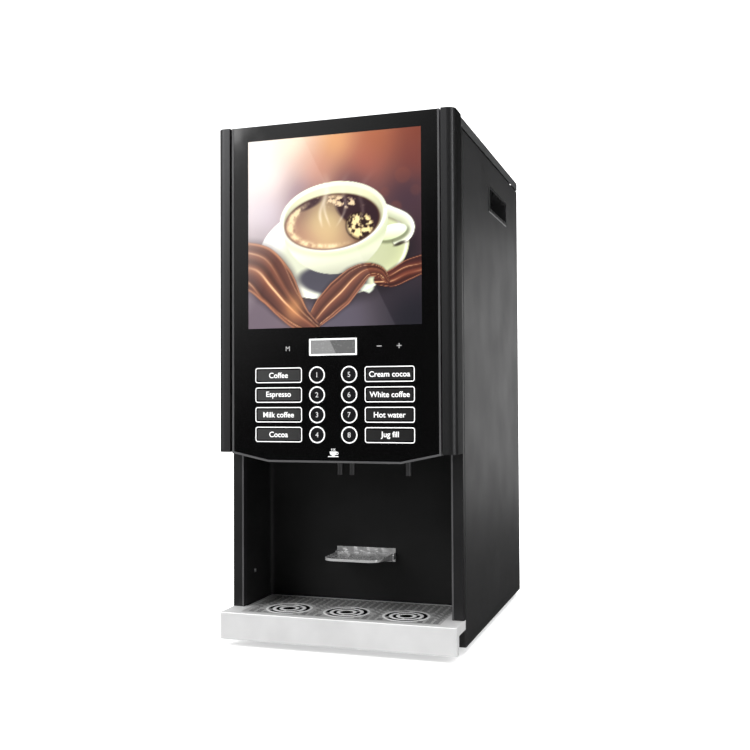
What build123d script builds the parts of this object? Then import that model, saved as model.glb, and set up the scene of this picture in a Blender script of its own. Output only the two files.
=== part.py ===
"""Table-top hot drinks machine: instant powders, a boiler, two mixers and a self-service cup bay.

Millimetres. +Z up, the front faces -Y, +X is to the right of a person facing the machine.
The origin is the centre of the bounding box's foot print, on the counter.
Depths ("d" in the code) are measured back from the front face of the door glass.
"""

import os
from math import sqrt

from build123d import *

os.makedirs("parts", exist_ok=True)

# ---- Overall sizes --------------------------------------------------------------------------
body_width = 380.0  # cabinet, tray and lid, outside
machine_top = 812.0  # top of the lid and of the door
lid_height = 15.0
glass_to_rear = 537.0  # door glass to the rear edge of the cabinet
foot_height = 10.0
trim_proud = 3.5  # door trims stand this far in front of the glass
inlet_tail = 14.5  # water inlet thread behind the cabinet

# ---- Clearances and sheet gauges ------------------------------------------------------------
fit_gap = 0.3  # between assembled pieces that don't move
side_gap = 0.4  # base, shelf and rear panel, to the side skins
run_gap = 0.05  # radial, round a turning pin
lid_seam = 2.0  # side panels to lid
skin = 1.2  # side, rear, lid and liner sheet
base_sheet = 1.5
fold = 14.0  # flange on the side panels
edge_radius = 2.5

# ---- Front of the cabinet -------------------------------------------------------------------
frame_front = 46.5  # depth of the front frame's face
frame_depth = 9.5
frame_sheet = 1.5
pillar_width = 18.4
header_height = 25.0
frame_web = 57.7  # depth of the frame's fixing web
cabinet_front = 58.0  # depth of the side panels' front edge

# ---- Cup bay --------------------------------------------------------------------------------
tray_height = 42.0
bay_depth = 155.0  # depth of the bay's back wall
bay_top = 310.0
bay_corner = 8.0
bay_step = 0.4  # liner wall behind the pillar's inner face
nozzle_depth = 57.0
nozzle_radius = 4.0
nozzle_bore = 2.8
nozzle_tip = 266.0
mix_nozzle_x = 10.0
water_nozzle_x = 102.0

# ---- Door -----------------------------------------------------------------------------------
frame_half = 168.5  # half width of the door frame
frame_rim = 3.0
rim_proud = 0.6
glass_gap = 0.2
glass_thickness = 4.0
door_back = 44.5
chin_corner_z = 301.0
chin_z = 288.0
chin_half = 107.0
trim_groove = 2.5
trim_overhang = 2.0  # trims stand out beyond the cabinet's sides
trim_radius = 12.0
trim_bottom = 302.5
hinge_inset = 7.5  # hinge axis, from the trim's outer and rear faces
hinge_pin = 3.0
knuckle_radius = 5.8
hinge_running = 0.8  # knuckle to the notch round it
hinge_height = 30.0
lower_hinge_z = 345.0
upper_hinge_drop = 30.0  # lower end of the upper hinge, below the side panels' top
lock_x = 85.0
lock_depth = 30.0
lock_radius = 9.5
cam_reach = 24.0
cam_height = 25.0
cam_sheet = 2.5
cam_half = 5.0
poster_half = 140.3
poster_low = 494.6
poster_high = 788.2
display_half = 38.6
display_low = 450.9
display_high = 476.8
key_x = 26.0
key_top = 421.6
key_pitch = 30.4
key_radius = 10.5
key_travel = 1.2
label_inner = 50.8
label_outer = 128.8
label_height = 23.6
label_corner = 4.0

# ---- Powder and drink system ----------------------------------------------------------------
bulkhead_depth = 165.0
shelf_z = 500.0
shelf_front = 108.0
canister_xs = (-108.0, 0.0, 108.0)
chute_shifts = (33.0, 38.0, -30.0)
canister_width = 100.0
canister_front = 110.0
canister_depth = 250.0
canister_height = 218.0
canister_wall = 2.5
trough_radius = 23.0
outlet_radius = 20.0
bowl_x = 57.0
bowl_depth = 110.0
bowl_radius = 42.0
bowl_top = 440.0
whip_z = 350.0
chamber_radius = 24.0
hose_radius = 5.0
hose_bore = 3.3
bowl_hose_z = 427.0
water_hose_z = 400.0

# ---- Boiler, electrics and rear fittings ----------------------------------------------------
boiler_half = 125.0
boiler_front = 215.0
boiler_rear = 355.0
boiler_low = 30.0
boiler_high = 290.0
boiler_wall = 1.5
valve_depth = 250.0
spigot_top = 344.3
fan_x, fan_z, fan_size, fan_depth = 110.0, 440.0, 80.0, 25.0
inlet_x, inlet_z, inlet_radius = 110.0, 70.0, 13.1
power_x, power_z = -110.0, 62.0

# ---- Derived places -------------------------------------------------------------------------
half = body_width / 2
inside = half - skin
base_z = foot_height
base_top = base_z + base_sheet
tray_top = base_z + tray_height
overall_depth = trim_proud + glass_to_rear + inlet_tail
glass_y = -overall_depth / 2 + trim_proud
pillar_inner = half - pillar_width
liner_half = pillar_inner + bay_step
lid_low = machine_top - lid_height
side_top = lid_low - lid_seam
hinge_heights = (lower_hinge_z, side_top - upper_hinge_drop)
shelf_top = shelf_z + skin
rear_face = glass_to_rear - skin - fit_gap  # outer face of the rear panel
rear_inner = rear_face - skin
trim_inner = frame_half + trim_groove
trim_outer = half + trim_overhang
hinge_x = trim_outer - hinge_inset
hinge_depth = door_back - hinge_inset
cam_low = chin_z + cam_height
slot_near = lock_x - cam_reach + 2.0
slot_far = lock_x + cam_half + 2.0
slot_low = cam_low - 1.5
slot_high = cam_low + cam_sheet + 1.5
key_rows = [key_top - i * key_pitch for i in range(4)]
auger_z = shelf_top + fit_gap + trough_radius


def block(x0, x1, d0, d1, z0, z1, mode=Mode.ADD):
    """A box between two corners; d0 and d1 are depths behind the door glass."""
    with Locations(((x0 + x1) / 2, glass_y + (d0 + d1) / 2, (z0 + z1) / 2)):
        Box(x1 - x0, d1 - d0, z1 - z0, mode=mode)


def rod_x(x0, x1, d, z, radius, mode=Mode.ADD):
    """A round bar along X."""
    with Locations(Location(((x0 + x1) / 2, glass_y + d, z), (0, 90, 0))):
        Cylinder(radius, x1 - x0, mode=mode)


def rod_y(x, d0, d1, z, radius, mode=Mode.ADD):
    """A round bar along Y."""
    with Locations(Location((x, glass_y + (d0 + d1) / 2, z), (90, 0, 0))):
        Cylinder(radius, d1 - d0, mode=mode)


def rod_z(x, d, z0, z1, radius, mode=Mode.ADD):
    """A round bar along Z."""
    with Locations((x, glass_y + d, (z0 + z1) / 2)):
        Cylinder(radius, z1 - z0, mode=mode)


def front_plane(d):
    """The upright plane at a depth; its local x is X and its local y is Z."""
    return Plane((0, glass_y + d, 0), x_dir=(1, 0, 0), z_dir=(0, -1, 0))


def save(builder, name):
    """Labels a finished piece and writes its STEP file."""
    builder.part.label = name
    export_step(builder.part, f"parts/{name}.step")


# ---- Base pan: folded sheet floor, with a tongue forward under the drip tray -----------------
tongue_front = 14.0
tongue_half = 150.0
upstand = 20.0
floor_half = inside - side_gap
floor_front = cabinet_front + skin + fit_gap
floor_rear = rear_inner - side_gap
with BuildPart() as base_pan:
    block(-floor_half, floor_half, floor_front, floor_rear, base_z, base_top)
    block(-tongue_half, tongue_half, tongue_front, floor_front, base_z, base_top)
    for side in (-1, 1):
        edge = side * floor_half
        lip = side * (floor_half - base_sheet)
        block(min(edge, lip), max(edge, lip), floor_front, floor_rear, base_top, base_top + upstand)
    block(-floor_half, floor_half, floor_rear - base_sheet, floor_rear, base_top, base_top + upstand)
save(base_pan, "base_pan")

# ---- Feet: four rubber pads under the base --------------------------------------------------
foot_radius = 15.0
foot_inset = 40.0
foot_front = 75.0
foot_rear_inset = 40.0
foot_round = 1.5
with BuildPart() as feet:
    for foot_x in (foot_inset - half, half - foot_inset):
        for foot_d in (foot_front, glass_to_rear - foot_rear_inset):
            rod_z(foot_x, foot_d, 0, foot_height, foot_radius)
    fillet(feet.edges().group_by(Axis.Z)[0], foot_round)
save(feet, "feet")

# ---- Side panels: folded sheet trays, with a cut-out for the hand hold ----------------------
grip_front = 253.0
grip_rear = 413.0
grip_low = 704.0
grip_high = 750.0
grip_bezel = 4.0
with BuildPart() as right_side_panel:
    block(half - fold, half, cabinet_front, glass_to_rear, base_z, side_top)
    fillet(right_side_panel.edges().filter_by(Axis.Z).group_by(Axis.X)[-1], edge_radius)
    fillet(right_side_panel.faces().sort_by(Axis.Z)[-1].edges().group_by(Axis.X)[-1], edge_radius)
    block(
        half - fold, inside, cabinet_front + skin, glass_to_rear - skin,
        base_z, side_top - skin, mode=Mode.SUBTRACT,
    )
    block(
        inside - skin, half + skin, grip_front + grip_bezel, grip_rear - grip_bezel,
        grip_low + grip_bezel, grip_high - grip_bezel, mode=Mode.SUBTRACT,
    )
save(right_side_panel, "right_side_panel")

with BuildPart() as left_side_panel:
    mirror(right_side_panel.part, about=Plane.YZ)
save(left_side_panel, "left_side_panel")

# ---- Hand holds: moulded cups with a raised bezel, one in each side -------------------------
grip_cup = 25.0
grip_wall = 2.0
bezel_proud = 1.6
bezel_slope = 1.2
with BuildPart() as hand_holds:
    block(half, half + bezel_proud, grip_front, grip_rear, grip_low, grip_high)
    block(
        inside - grip_cup, half + bezel_proud,
        grip_front + grip_bezel + fit_gap, grip_rear - grip_bezel - fit_gap,
        grip_low + grip_bezel + fit_gap, grip_high - grip_bezel - fit_gap,
    )
    chamfer(hand_holds.faces().sort_by(Axis.X)[-1].edges(), bezel_slope)
    block(
        inside - grip_cup + grip_wall, half + 2 * bezel_proud,
        grip_front + grip_bezel + fit_gap + grip_wall, grip_rear - grip_bezel - fit_gap - grip_wall,
        grip_low + grip_bezel + fit_gap + grip_wall, grip_high - grip_bezel - fit_gap - grip_wall,
        mode=Mode.SUBTRACT,
    )
    mirror(about=Plane.YZ)
save(hand_holds, "hand_holds")

# ---- Rear panel: flat sheet with a fan outlet, louvres and openings for the inlets ----------
module_half, module_height = 44.0, 34.0
louvre_width, louvre_height, louvre_pitch = 90.0, 4.0, 12.0
louvre_column_gap = 20.0
upper_louvre_x = -70.0
lower_louvre_z = 180.0
fan_lip = 3.0  # sheet left over the rim of the fan
fan_screw_inset = 6.0
fan_screw_radius = 2.2
inlet_clear = 1.0
module_lip = 3.0
with BuildPart() as rear_panel:
    block(
        -floor_half, floor_half, rear_inner, rear_face, base_top + fit_gap,
        side_top - skin - fit_gap,
    )
    with BuildSketch(front_plane(rear_face)) as openings:
        with Locations((fan_x, fan_z)):
            Circle(fan_size / 2 - fan_lip)
            with GridLocations(fan_size - 2 * fan_screw_inset, fan_size - 2 * fan_screw_inset, 2, 2):
                Circle(fan_screw_radius)
        with Locations((inlet_x, inlet_z)):
            Circle(inlet_radius + inlet_clear)
        with Locations((power_x, power_z)):
            Rectangle(2 * (module_half - module_lip), module_height - 2 * module_lip)
        with Locations((upper_louvre_x, fan_z)):
            with GridLocations(0, louvre_pitch, 1, 8):
                SlotOverall(louvre_width, louvre_height)
        with Locations((0, lower_louvre_z)):
            with GridLocations(louvre_width + louvre_column_gap, louvre_pitch, 3, 6):
                SlotOverall(louvre_width, louvre_height)
    extrude(amount=-2 * skin, both=True, mode=Mode.SUBTRACT)
save(rear_panel, "rear_panel")

# ---- Front frame: folded channel round the door opening -------------------------------------
frame_back = frame_front + frame_depth
frame_low = tray_top + fit_gap
frame_round = 1.2
web_inset = 3.0
with BuildPart() as front_frame:
    block(-half, half, frame_front, frame_back, frame_low, side_top)
    block(
        -pillar_inner, pillar_inner, frame_front, frame_back, frame_low,
        side_top - header_height, mode=Mode.SUBTRACT,
    )
    fillet(front_frame.faces().sort_by(Axis.Y)[0].edges(), frame_round)
    shallow = frame_front + frame_sheet
    inner = pillar_inner + frame_sheet
    outer = half - frame_sheet
    for side in (-1, 1):
        near, far = sorted((side * inner, side * outer))
        block(near, far, shallow, frame_back, frame_low, side_top - frame_sheet, mode=Mode.SUBTRACT)
    block(
        -outer, outer, shallow, frame_back, side_top - header_height + frame_sheet,
        side_top - frame_sheet, mode=Mode.SUBTRACT,
    )
    for side in (-1, 1):
        near, far = sorted((side * pillar_inner, side * inner))
        block(near, far, frame_back - 1, frame_web, frame_low, side_top - header_height)
        near, far = sorted((side * pillar_inner, side * (outer - web_inset)))
        block(near, far, frame_web - skin, frame_web, frame_low, side_top - header_height)
save(front_frame, "front_frame")

# ---- Cup bay liner: walls, back and ceiling of the cup station ------------------------------
liner_low = tray_top + fit_gap
liner_outer = liner_half + skin
ceiling_lip = 20.0
nozzle_hole = nozzle_radius + fit_gap
with BuildPart() as cup_bay_liner:
    block(-liner_outer, liner_outer, cabinet_front, bay_depth + skin, liner_low, bay_top + skin)
    with BuildSketch(Plane.XY.offset(bay_top)) as bay:
        with Locations((0, glass_y + bay_depth / 2)):
            Rectangle(2 * liner_half, bay_depth)
        fillet(bay.vertices().group_by(Axis.Y)[-1], bay_corner)
    extrude(amount=liner_low - bay_top - 1, mode=Mode.SUBTRACT)
    lip_half = pillar_inner - fit_gap
    block(-lip_half, lip_half, frame_front, cabinet_front, bay_top, bay_top + skin)
    block(-lip_half, lip_half, frame_front, frame_front + skin, bay_top, bay_top + ceiling_lip)
    block(
        slot_near, slot_far, frame_front - 1, frame_front + skin + 1, slot_low, slot_high,
        mode=Mode.SUBTRACT,
    )
    for x in (-mix_nozzle_x, mix_nozzle_x, water_nozzle_x):
        rod_z(x, nozzle_depth, bay_top - 1, bay_top + skin + 1, nozzle_hole, mode=Mode.SUBTRACT)
save(cup_bay_liner, "cup_bay_liner")

# ---- Nozzles: two for mixed drinks, one for hot water ---------------------------------------
nozzle_top = bay_top + skin + 12.0
collar_height = 3.0
collar_width = 3.0
with BuildPart() as nozzles:
    for x in (-mix_nozzle_x, mix_nozzle_x, water_nozzle_x):
        rod_z(x, nozzle_depth, nozzle_tip, nozzle_top, nozzle_radius)
        rod_z(x, nozzle_depth, bay_top + skin, bay_top + skin + collar_height, nozzle_radius + collar_width)
        rod_z(x, nozzle_depth, nozzle_tip - 1, nozzle_top + 1, nozzle_bore, mode=Mode.SUBTRACT)
save(nozzles, "nozzles")

# ---- Motor bulkhead: upright plate between the mixing space and the boiler space ------------
bulkhead_half = floor_half - base_sheet - fit_gap
bulkhead_rear = bulkhead_depth + base_sheet
shaft_hole = 6.0
with BuildPart() as motor_bulkhead:
    block(
        -bulkhead_half, bulkhead_half, bulkhead_depth, bulkhead_rear,
        base_top + fit_gap, shelf_z - fit_gap,
    )
    for x in (-bowl_x, bowl_x):
        rod_y(x, bulkhead_depth - 1, bulkhead_rear + 1, whip_z, shaft_hole, mode=Mode.SUBTRACT)
        rod_y(
            x, bulkhead_depth - 1, bulkhead_rear + 1, bowl_hose_z,
            hose_radius + fit_gap, mode=Mode.SUBTRACT,
        )
    rod_y(
        water_nozzle_x, bulkhead_depth - 1, bulkhead_rear + 1, water_hose_z,
        hose_radius + fit_gap, mode=Mode.SUBTRACT,
    )
save(motor_bulkhead, "motor_bulkhead")

# ---- Canister shelf: carries the canisters, its upstand the auger motors --------------------
canister_rear = canister_front + canister_depth
shelf_rear = canister_rear + 6.0
shelf_lip_height = 10.0
upstand_top = shelf_top + 95.0
with BuildPart() as canister_shelf:
    block(-floor_half, floor_half, shelf_front, shelf_rear, shelf_z, shelf_top)
    block(-floor_half, floor_half, shelf_front, shelf_front + skin, shelf_z - shelf_lip_height, shelf_z)
    block(-floor_half, floor_half, shelf_rear - skin, shelf_rear, shelf_top, upstand_top)
    for x in canister_xs:
        rod_y(x, shelf_rear - 2 * skin, shelf_rear + 1, auger_z, shaft_hole, mode=Mode.SUBTRACT)
save(canister_shelf, "canister_shelf")

# ---- Canisters: open-topped hoppers with a round trough and a front outlet ------------------
canister_low = shelf_top + fit_gap
canister_top = canister_low + canister_height
shoulder_z = auger_z + 75.0
taper_z = auger_z + 12.0
canister_foot_half = 20.0
canister_foot_depth = 12.0
front_foot_inset = 12.0
rear_foot_inset = 24.0
foot_reach = auger_z - 8.0  # feet run up into the trough's wall
outlet_length = 22.0


def hopper(x, front, depth, inset):
    """A length of the hopper section: straight sides, a taper and a round trough."""
    wide = canister_width / 2 - inset
    narrow = trough_radius - inset
    top = canister_top + (1 if inset else 0)
    with BuildSketch(front_plane(front), mode=Mode.PRIVATE) as outline:
        with BuildLine():
            Polyline(
                (x - narrow, auger_z), (x - narrow, taper_z), (x - wide, shoulder_z), (x - wide, top),
                (x + wide, top), (x + wide, shoulder_z), (x + narrow, taper_z), (x + narrow, auger_z),
            )
            ThreePointArc((x + narrow, auger_z), (x, auger_z - narrow), (x - narrow, auger_z))
        make_face()
    extrude(outline.sketch, amount=-depth, mode=Mode.SUBTRACT if inset else Mode.ADD)


with BuildPart() as canisters:
    for x in canister_xs:
        hopper(x, canister_front, canister_depth, 0)
        for foot_d in (canister_front + front_foot_inset, canister_rear - rear_foot_inset):
            block(
                x - canister_foot_half, x + canister_foot_half, foot_d, foot_d + canister_foot_depth,
                canister_low, foot_reach,
            )
        rod_y(x, canister_front - outlet_length, canister_front + 1, auger_z, outlet_radius)
    for x in canister_xs:
        hopper(x, canister_front + canister_wall, canister_depth - 2 * canister_wall, canister_wall)
        rod_y(
            x, canister_front - outlet_length - 1, canister_front + canister_wall + 1, auger_z,
            outlet_radius - canister_wall, mode=Mode.SUBTRACT,
        )
        rod_y(
            x, canister_rear - 2 * canister_wall, canister_rear + 1, auger_z, shaft_hole,
            mode=Mode.SUBTRACT,
        )
save(canisters, "canisters")

# ---- Canister lids: plates with a locating plug and a grip ridge ----------------------------
lid_sheet = 3.0
plug_depth = 5.0
plug_wall = 2.0
plug_roof = canister_top  # underside of the plate between the plug's walls
grip_ridge_half = 4.0
grip_ridge_inset = 70.0
grip_ridge_height = 9.0
plug = canister_width / 2 - canister_wall - fit_gap
plug_front = canister_front + canister_wall + fit_gap
plug_rear = canister_rear - canister_wall - fit_gap
with BuildPart() as canister_lids:
    for x in canister_xs:
        block(
            x - canister_width / 2, x + canister_width / 2, canister_front, canister_rear,
            canister_top + fit_gap, canister_top + lid_sheet,
        )
        block(x - plug, x + plug, plug_front, plug_rear, canister_top - plug_depth, canister_top + fit_gap)
        block(
            x - plug + plug_wall, x + plug - plug_wall, plug_front + plug_wall, plug_rear - plug_wall,
            canister_top - plug_depth - 1, plug_roof, mode=Mode.SUBTRACT,
        )
        block(
            x - grip_ridge_half, x + grip_ridge_half, canister_front + grip_ridge_inset,
            canister_rear - grip_ridge_inset, canister_top + lid_sheet,
            canister_top + lid_sheet + grip_ridge_height,
        )
save(canister_lids, "canister_lids")

# ---- Chutes: elbows from each canister outlet down into a mixing bowl ------------------------
sleeve_wall = 2.5
sleeve_in = outlet_radius + fit_gap
sleeve_out = sleeve_in + sleeve_wall
sleeve_front = canister_front - 30.0
sleeve_rear = canister_front - 6.0
spout_top = auger_z - 18.0
spout_end = bowl_top + 8.0
spout_mid = (sleeve_front + sleeve_rear) / 2
spout_wall = 2.0
spout_inlet = (32.0, 22.0)
spout_outlet = (24.0, 20.0)


def spout(x, shift, wall, mode=Mode.ADD):
    """A slanting rectangular duct from under the sleeve to above the bowl."""
    with BuildSketch(Plane.XY.offset(spout_end), mode=Mode.PRIVATE) as low:
        with Locations((x + shift, glass_y + spout_mid)):
            Rectangle(*[span - 2 * wall for span in spout_outlet])
    with BuildSketch(Plane.XY.offset(spout_top), mode=Mode.PRIVATE) as high:
        with Locations((x, glass_y + spout_mid)):
            Rectangle(*[span - 2 * wall for span in spout_inlet])
    loft([low.sketch, high.sketch], mode=mode)


with BuildPart() as canister_chutes:
    for x, shift in zip(canister_xs, chute_shifts):
        rod_y(x, sleeve_front, sleeve_rear, auger_z, sleeve_out)
        spout(x, shift, 0)
    for x, shift in zip(canister_xs, chute_shifts):
        rod_y(x, sleeve_front + sleeve_wall, sleeve_rear + 1, auger_z, sleeve_in, mode=Mode.SUBTRACT)
        spout(x, shift, spout_wall, mode=Mode.SUBTRACT)
save(canister_chutes, "canister_chutes")

# ---- Augers: wire coils on a drive boss, one in each canister -------------------------------
auger_radius = 13.0
auger_wire = 2.0
auger_pitch = 18.0
auger_turns = 12
coil_end = canister_rear - canister_wall - 8.0
boss_radius = auger_radius + auger_wire + 1.0
boss_front = coil_end - 3.0
boss_rear = coil_end + 4.0
auger_shaft = 4.0
coil_length = auger_pitch * auger_turns
for name, x in zip(("coffee_auger", "milk_auger", "cocoa_auger"), canister_xs):
    with BuildPart() as auger:
        with BuildLine(Plane.XY):
            coil = Helix(
                auger_pitch, coil_length, auger_radius,
                center=(x, glass_y + coil_end - coil_length, auger_z), direction=(0, 1, 0),
            )
        with BuildSketch(Plane(coil @ 0, z_dir=coil % 0)):
            Circle(auger_wire)
        sweep(path=coil)
        rod_y(x, boss_front, boss_rear, auger_z, boss_radius)
        rod_y(x, coil_end, shelf_rear - fit_gap, auger_z, auger_shaft)
    save(auger, name)

# ---- Mixing bowls: funnel, whipper chamber and fixing collar --------------------------------
bowl_wall = 2.5
cone_top = bowl_top - 25.0
cone_low = whip_z + chamber_radius - 2.0
throat = 16.0
chamber_front = bowl_depth - 25.0
chamber_rear = bowl_depth + 25.0
outlet_z = whip_z - 15.0
outlet_end = chamber_front - 12.0
spigot_end = bowl_depth + bowl_radius + 10.0
spigot_root = bowl_depth + bowl_radius - 4.0
bead_width = 2.5
bead_height = 3.0
seal_bore = 4.0
seal_boss = 5.0
with BuildPart() as mixing_bowls:
    for x in (-bowl_x, bowl_x):
        rod_z(x, bowl_depth, cone_top, bowl_top, bowl_radius)
        rod_z(x, bowl_depth, bowl_top - bead_height, bowl_top, bowl_radius + bead_width)
        with Locations((x, glass_y + bowl_depth, (cone_top + cone_low) / 2)):
            Cone(throat, bowl_radius, cone_top - cone_low)
        rod_y(x, chamber_front, bulkhead_depth - fit_gap, whip_z, chamber_radius)
        rod_y(x, outlet_end, chamber_front + 1, outlet_z, hose_radius)
        rod_y(x, spigot_root, spigot_end, bowl_hose_z, hose_radius)
    for x in (-bowl_x, bowl_x):
        rod_z(x, bowl_depth, cone_top, bowl_top + 1, bowl_radius - bowl_wall, mode=Mode.SUBTRACT)
        with Locations((x, glass_y + bowl_depth, (cone_top + cone_low) / 2)):
            Cone(
                throat - bowl_wall, bowl_radius - bowl_wall, cone_top - cone_low,
                mode=Mode.SUBTRACT,
            )
        rod_z(x, bowl_depth, whip_z, cone_low + 1, throat - bowl_wall, mode=Mode.SUBTRACT)
        rod_y(
            x, chamber_front + bowl_wall, chamber_rear - bowl_wall, whip_z,
            chamber_radius - bowl_wall, mode=Mode.SUBTRACT,
        )
        rod_y(
            x, chamber_rear, bulkhead_depth, whip_z, chamber_radius - bowl_wall,
            mode=Mode.SUBTRACT,
        )
        rod_y(x, chamber_front, bulkhead_depth, whip_z, seal_bore, mode=Mode.SUBTRACT)
        rod_y(x, chamber_front - 1, chamber_front, whip_z, seal_boss)
        rod_y(x, chamber_front, chamber_front + bowl_wall, whip_z, seal_boss)
        rod_y(x, outlet_end - 1, chamber_front + bowl_wall + 1, outlet_z, hose_bore, mode=Mode.SUBTRACT)
        rod_y(
            x, spigot_root - bowl_wall + 1, spigot_end + 1, bowl_hose_z, hose_bore,
            mode=Mode.SUBTRACT,
        )
save(mixing_bowls, "mixing_bowls")

# ---- Whippers: bladed discs on the motor shafts ---------------------------------------------
whip_front = chamber_front + 10.0
whip_disc, whip_sheet = 16.0, 3.0
whip_shaft = 3.0
whip_blades = 6
blade_sheet, blade_depth, blade_length = 2.0, 5.0, 15.0
for name, x in (("left_whipper", -bowl_x), ("right_whipper", bowl_x)):
    with BuildPart() as whipper:
        rod_y(x, whip_front, whip_front + whip_sheet, whip_z, whip_disc)
        rod_y(x, whip_front, bulkhead_rear - fit_gap, whip_z, whip_shaft)
        for blade in range(whip_blades):
            hub = (x, glass_y + whip_front - 2, whip_z)
            with Locations(Location(hub, (0, blade * 360 / whip_blades, 0))):
                Box(
                    blade_sheet, blade_depth, blade_length,
                    align=(Align.CENTER, Align.CENTER, Align.MIN),
                )
    save(whipper, name)

# ---- Drive motors: three geared ones for the augers, two for the whippers -------------------
motor_radius = 18.0
gearbox_half, gearbox_depth = 25.0, 22.0
gearbox_drop, gearbox_rise = 20.0, 45.0  # below and above the auger's shaft
auger_motor_length, auger_motor_rise = 40.0, 15.0
whip_motor_length = 38.0
motor_flange_radius, motor_flange = 22.0, 3.0
with BuildPart() as drive_motors:
    gearbox_rear = shelf_rear + gearbox_depth
    for x in canister_xs:
        block(
            x - gearbox_half, x + gearbox_half, shelf_rear, gearbox_rear,
            auger_z - gearbox_drop, auger_z + gearbox_rise,
        )
        rod_y(
            x, gearbox_rear, gearbox_rear + auger_motor_length, auger_z + auger_motor_rise,
            motor_radius,
        )
    for x in (-bowl_x, bowl_x):
        rod_y(x, bulkhead_rear, bulkhead_rear + whip_motor_length, whip_z, motor_radius)
        rod_y(x, bulkhead_rear, bulkhead_rear + motor_flange, whip_z, motor_flange_radius)
save(drive_motors, "drive_motors")

# ---- Boiler: stainless tank on four legs, a flanged lid with the heater ---------------------
boiler_corner = 18.0
leg_radius = 6.0
leg_inset = 25.0
tank_spigot = 12.0
lid_plate = 3.0
lid_rest = boiler_high + fit_gap
boiler_mid = (boiler_front + boiler_rear) / 2
boiler_span = boiler_rear - boiler_front
with BuildPart() as boiler_tank:
    with BuildSketch(Plane.XY.offset(boiler_low)) as tank_plan:
        with Locations((0, glass_y + boiler_mid)):
            RectangleRounded(2 * boiler_half, boiler_span, boiler_corner)
    extrude(amount=boiler_high - boiler_low)
    with BuildSketch(Plane.XY.offset(boiler_low + boiler_wall)):
        with Locations((0, glass_y + boiler_mid)):
            RectangleRounded(
                2 * (boiler_half - boiler_wall), boiler_span - 2 * boiler_wall,
                boiler_corner - boiler_wall,
            )
    extrude(amount=boiler_high - boiler_low, mode=Mode.SUBTRACT)
    for x in (-1, 1):
        for d in (boiler_front + leg_inset, boiler_rear - leg_inset):
            rod_z(x * (boiler_half - leg_inset), d, base_top + fit_gap, boiler_low, leg_radius)
    rod_y(inlet_x, boiler_rear - boiler_wall, boiler_rear + tank_spigot, inlet_z, hose_radius)
    rod_y(
        inlet_x, boiler_rear - 2 * boiler_wall, boiler_rear + tank_spigot + 1, inlet_z, hose_bore,
        mode=Mode.SUBTRACT,
    )
save(boiler_tank, "boiler_tank")

heater_half = 30.0
heater_radius = 4.0
heater_bend = 22.0
heater_low = boiler_low + 30.0
heater_shift = 25.0  # behind the tank's middle
with BuildPart() as boiler_lid:
    with BuildSketch(Plane.XY.offset(lid_rest)):
        with Locations((0, glass_y + boiler_mid)):
            RectangleRounded(2 * boiler_half, boiler_span, boiler_corner)
    extrude(amount=lid_plate)
    with BuildLine(Plane.XZ.offset(-(glass_y + boiler_mid + heater_shift))) as heater:
        FilletPolyline(
            (-heater_half, lid_rest + 1), (-heater_half, heater_low),
            (heater_half, heater_low), (heater_half, lid_rest + 1), radius=heater_bend,
        )
    with BuildSketch(Plane(heater.line @ 0, z_dir=heater.line % 0)):
        Circle(heater_radius)
    sweep(path=heater.line)
save(boiler_lid, "boiler_lid")

# ---- Boiler valves: one for each mixing bowl and one for hot water ---------------------------
valve_base = lid_rest + lid_plate
valve_xs = (-bowl_x, bowl_x, water_nozzle_x)
valve_half, valve_height = 11.0, 26.0
coil_half, coil_depth = 13.0, 27.0
coil_lift, coil_height = 2.0, 28.0
valve_spigot = 4.0
with BuildPart() as boiler_valves:
    for x in valve_xs:
        block(
            x - valve_half, x + valve_half, valve_depth - valve_half, valve_depth + valve_half,
            valve_base, valve_base + valve_height,
        )
        rod_z(x, valve_depth, valve_base + valve_height, spigot_top, valve_spigot)
        block(
            x - coil_half, x + coil_half, valve_depth + valve_half, valve_depth + valve_half + coil_depth,
            valve_base + coil_lift, valve_base + coil_lift + coil_height,
        )
save(boiler_valves, "boiler_valves")

# ---- Water inlet valve: threaded tail through the rear panel --------------------------------
valve_front = rear_inner - 46.0
valve_rear = rear_inner - fit_gap
inlet_flange, inlet_flange_radius = 3.0, 19.0
inlet_body_half = 15.0
solenoid_setback, solenoid_top = 18.0, 50.0
inlet_spigot = 10.0
inlet_wall = 4.0
inlet_bore_depth = 20.0
with BuildPart() as water_inlet_valve:
    tail_end = glass_to_rear + inlet_tail
    flange_face = valve_rear - inlet_flange
    rod_y(inlet_x, flange_face, tail_end, inlet_z, inlet_radius)
    rod_y(inlet_x, flange_face, valve_rear, inlet_z, inlet_flange_radius)
    block(
        inlet_x - inlet_body_half, inlet_x + inlet_body_half, valve_front, flange_face,
        inlet_z - inlet_body_half, inlet_z + inlet_body_half,
    )
    rod_z(
        inlet_x, valve_front + solenoid_setback, inlet_z + inlet_body_half, inlet_z + solenoid_top,
        inlet_body_half,
    )
    rod_y(inlet_x, valve_front - inlet_spigot, valve_front, inlet_z, hose_radius)
    rod_y(
        inlet_x, tail_end - inlet_bore_depth, tail_end + 1, inlet_z, inlet_radius - inlet_wall,
        mode=Mode.SUBTRACT,
    )
save(water_inlet_valve, "water_inlet_valve")


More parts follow.
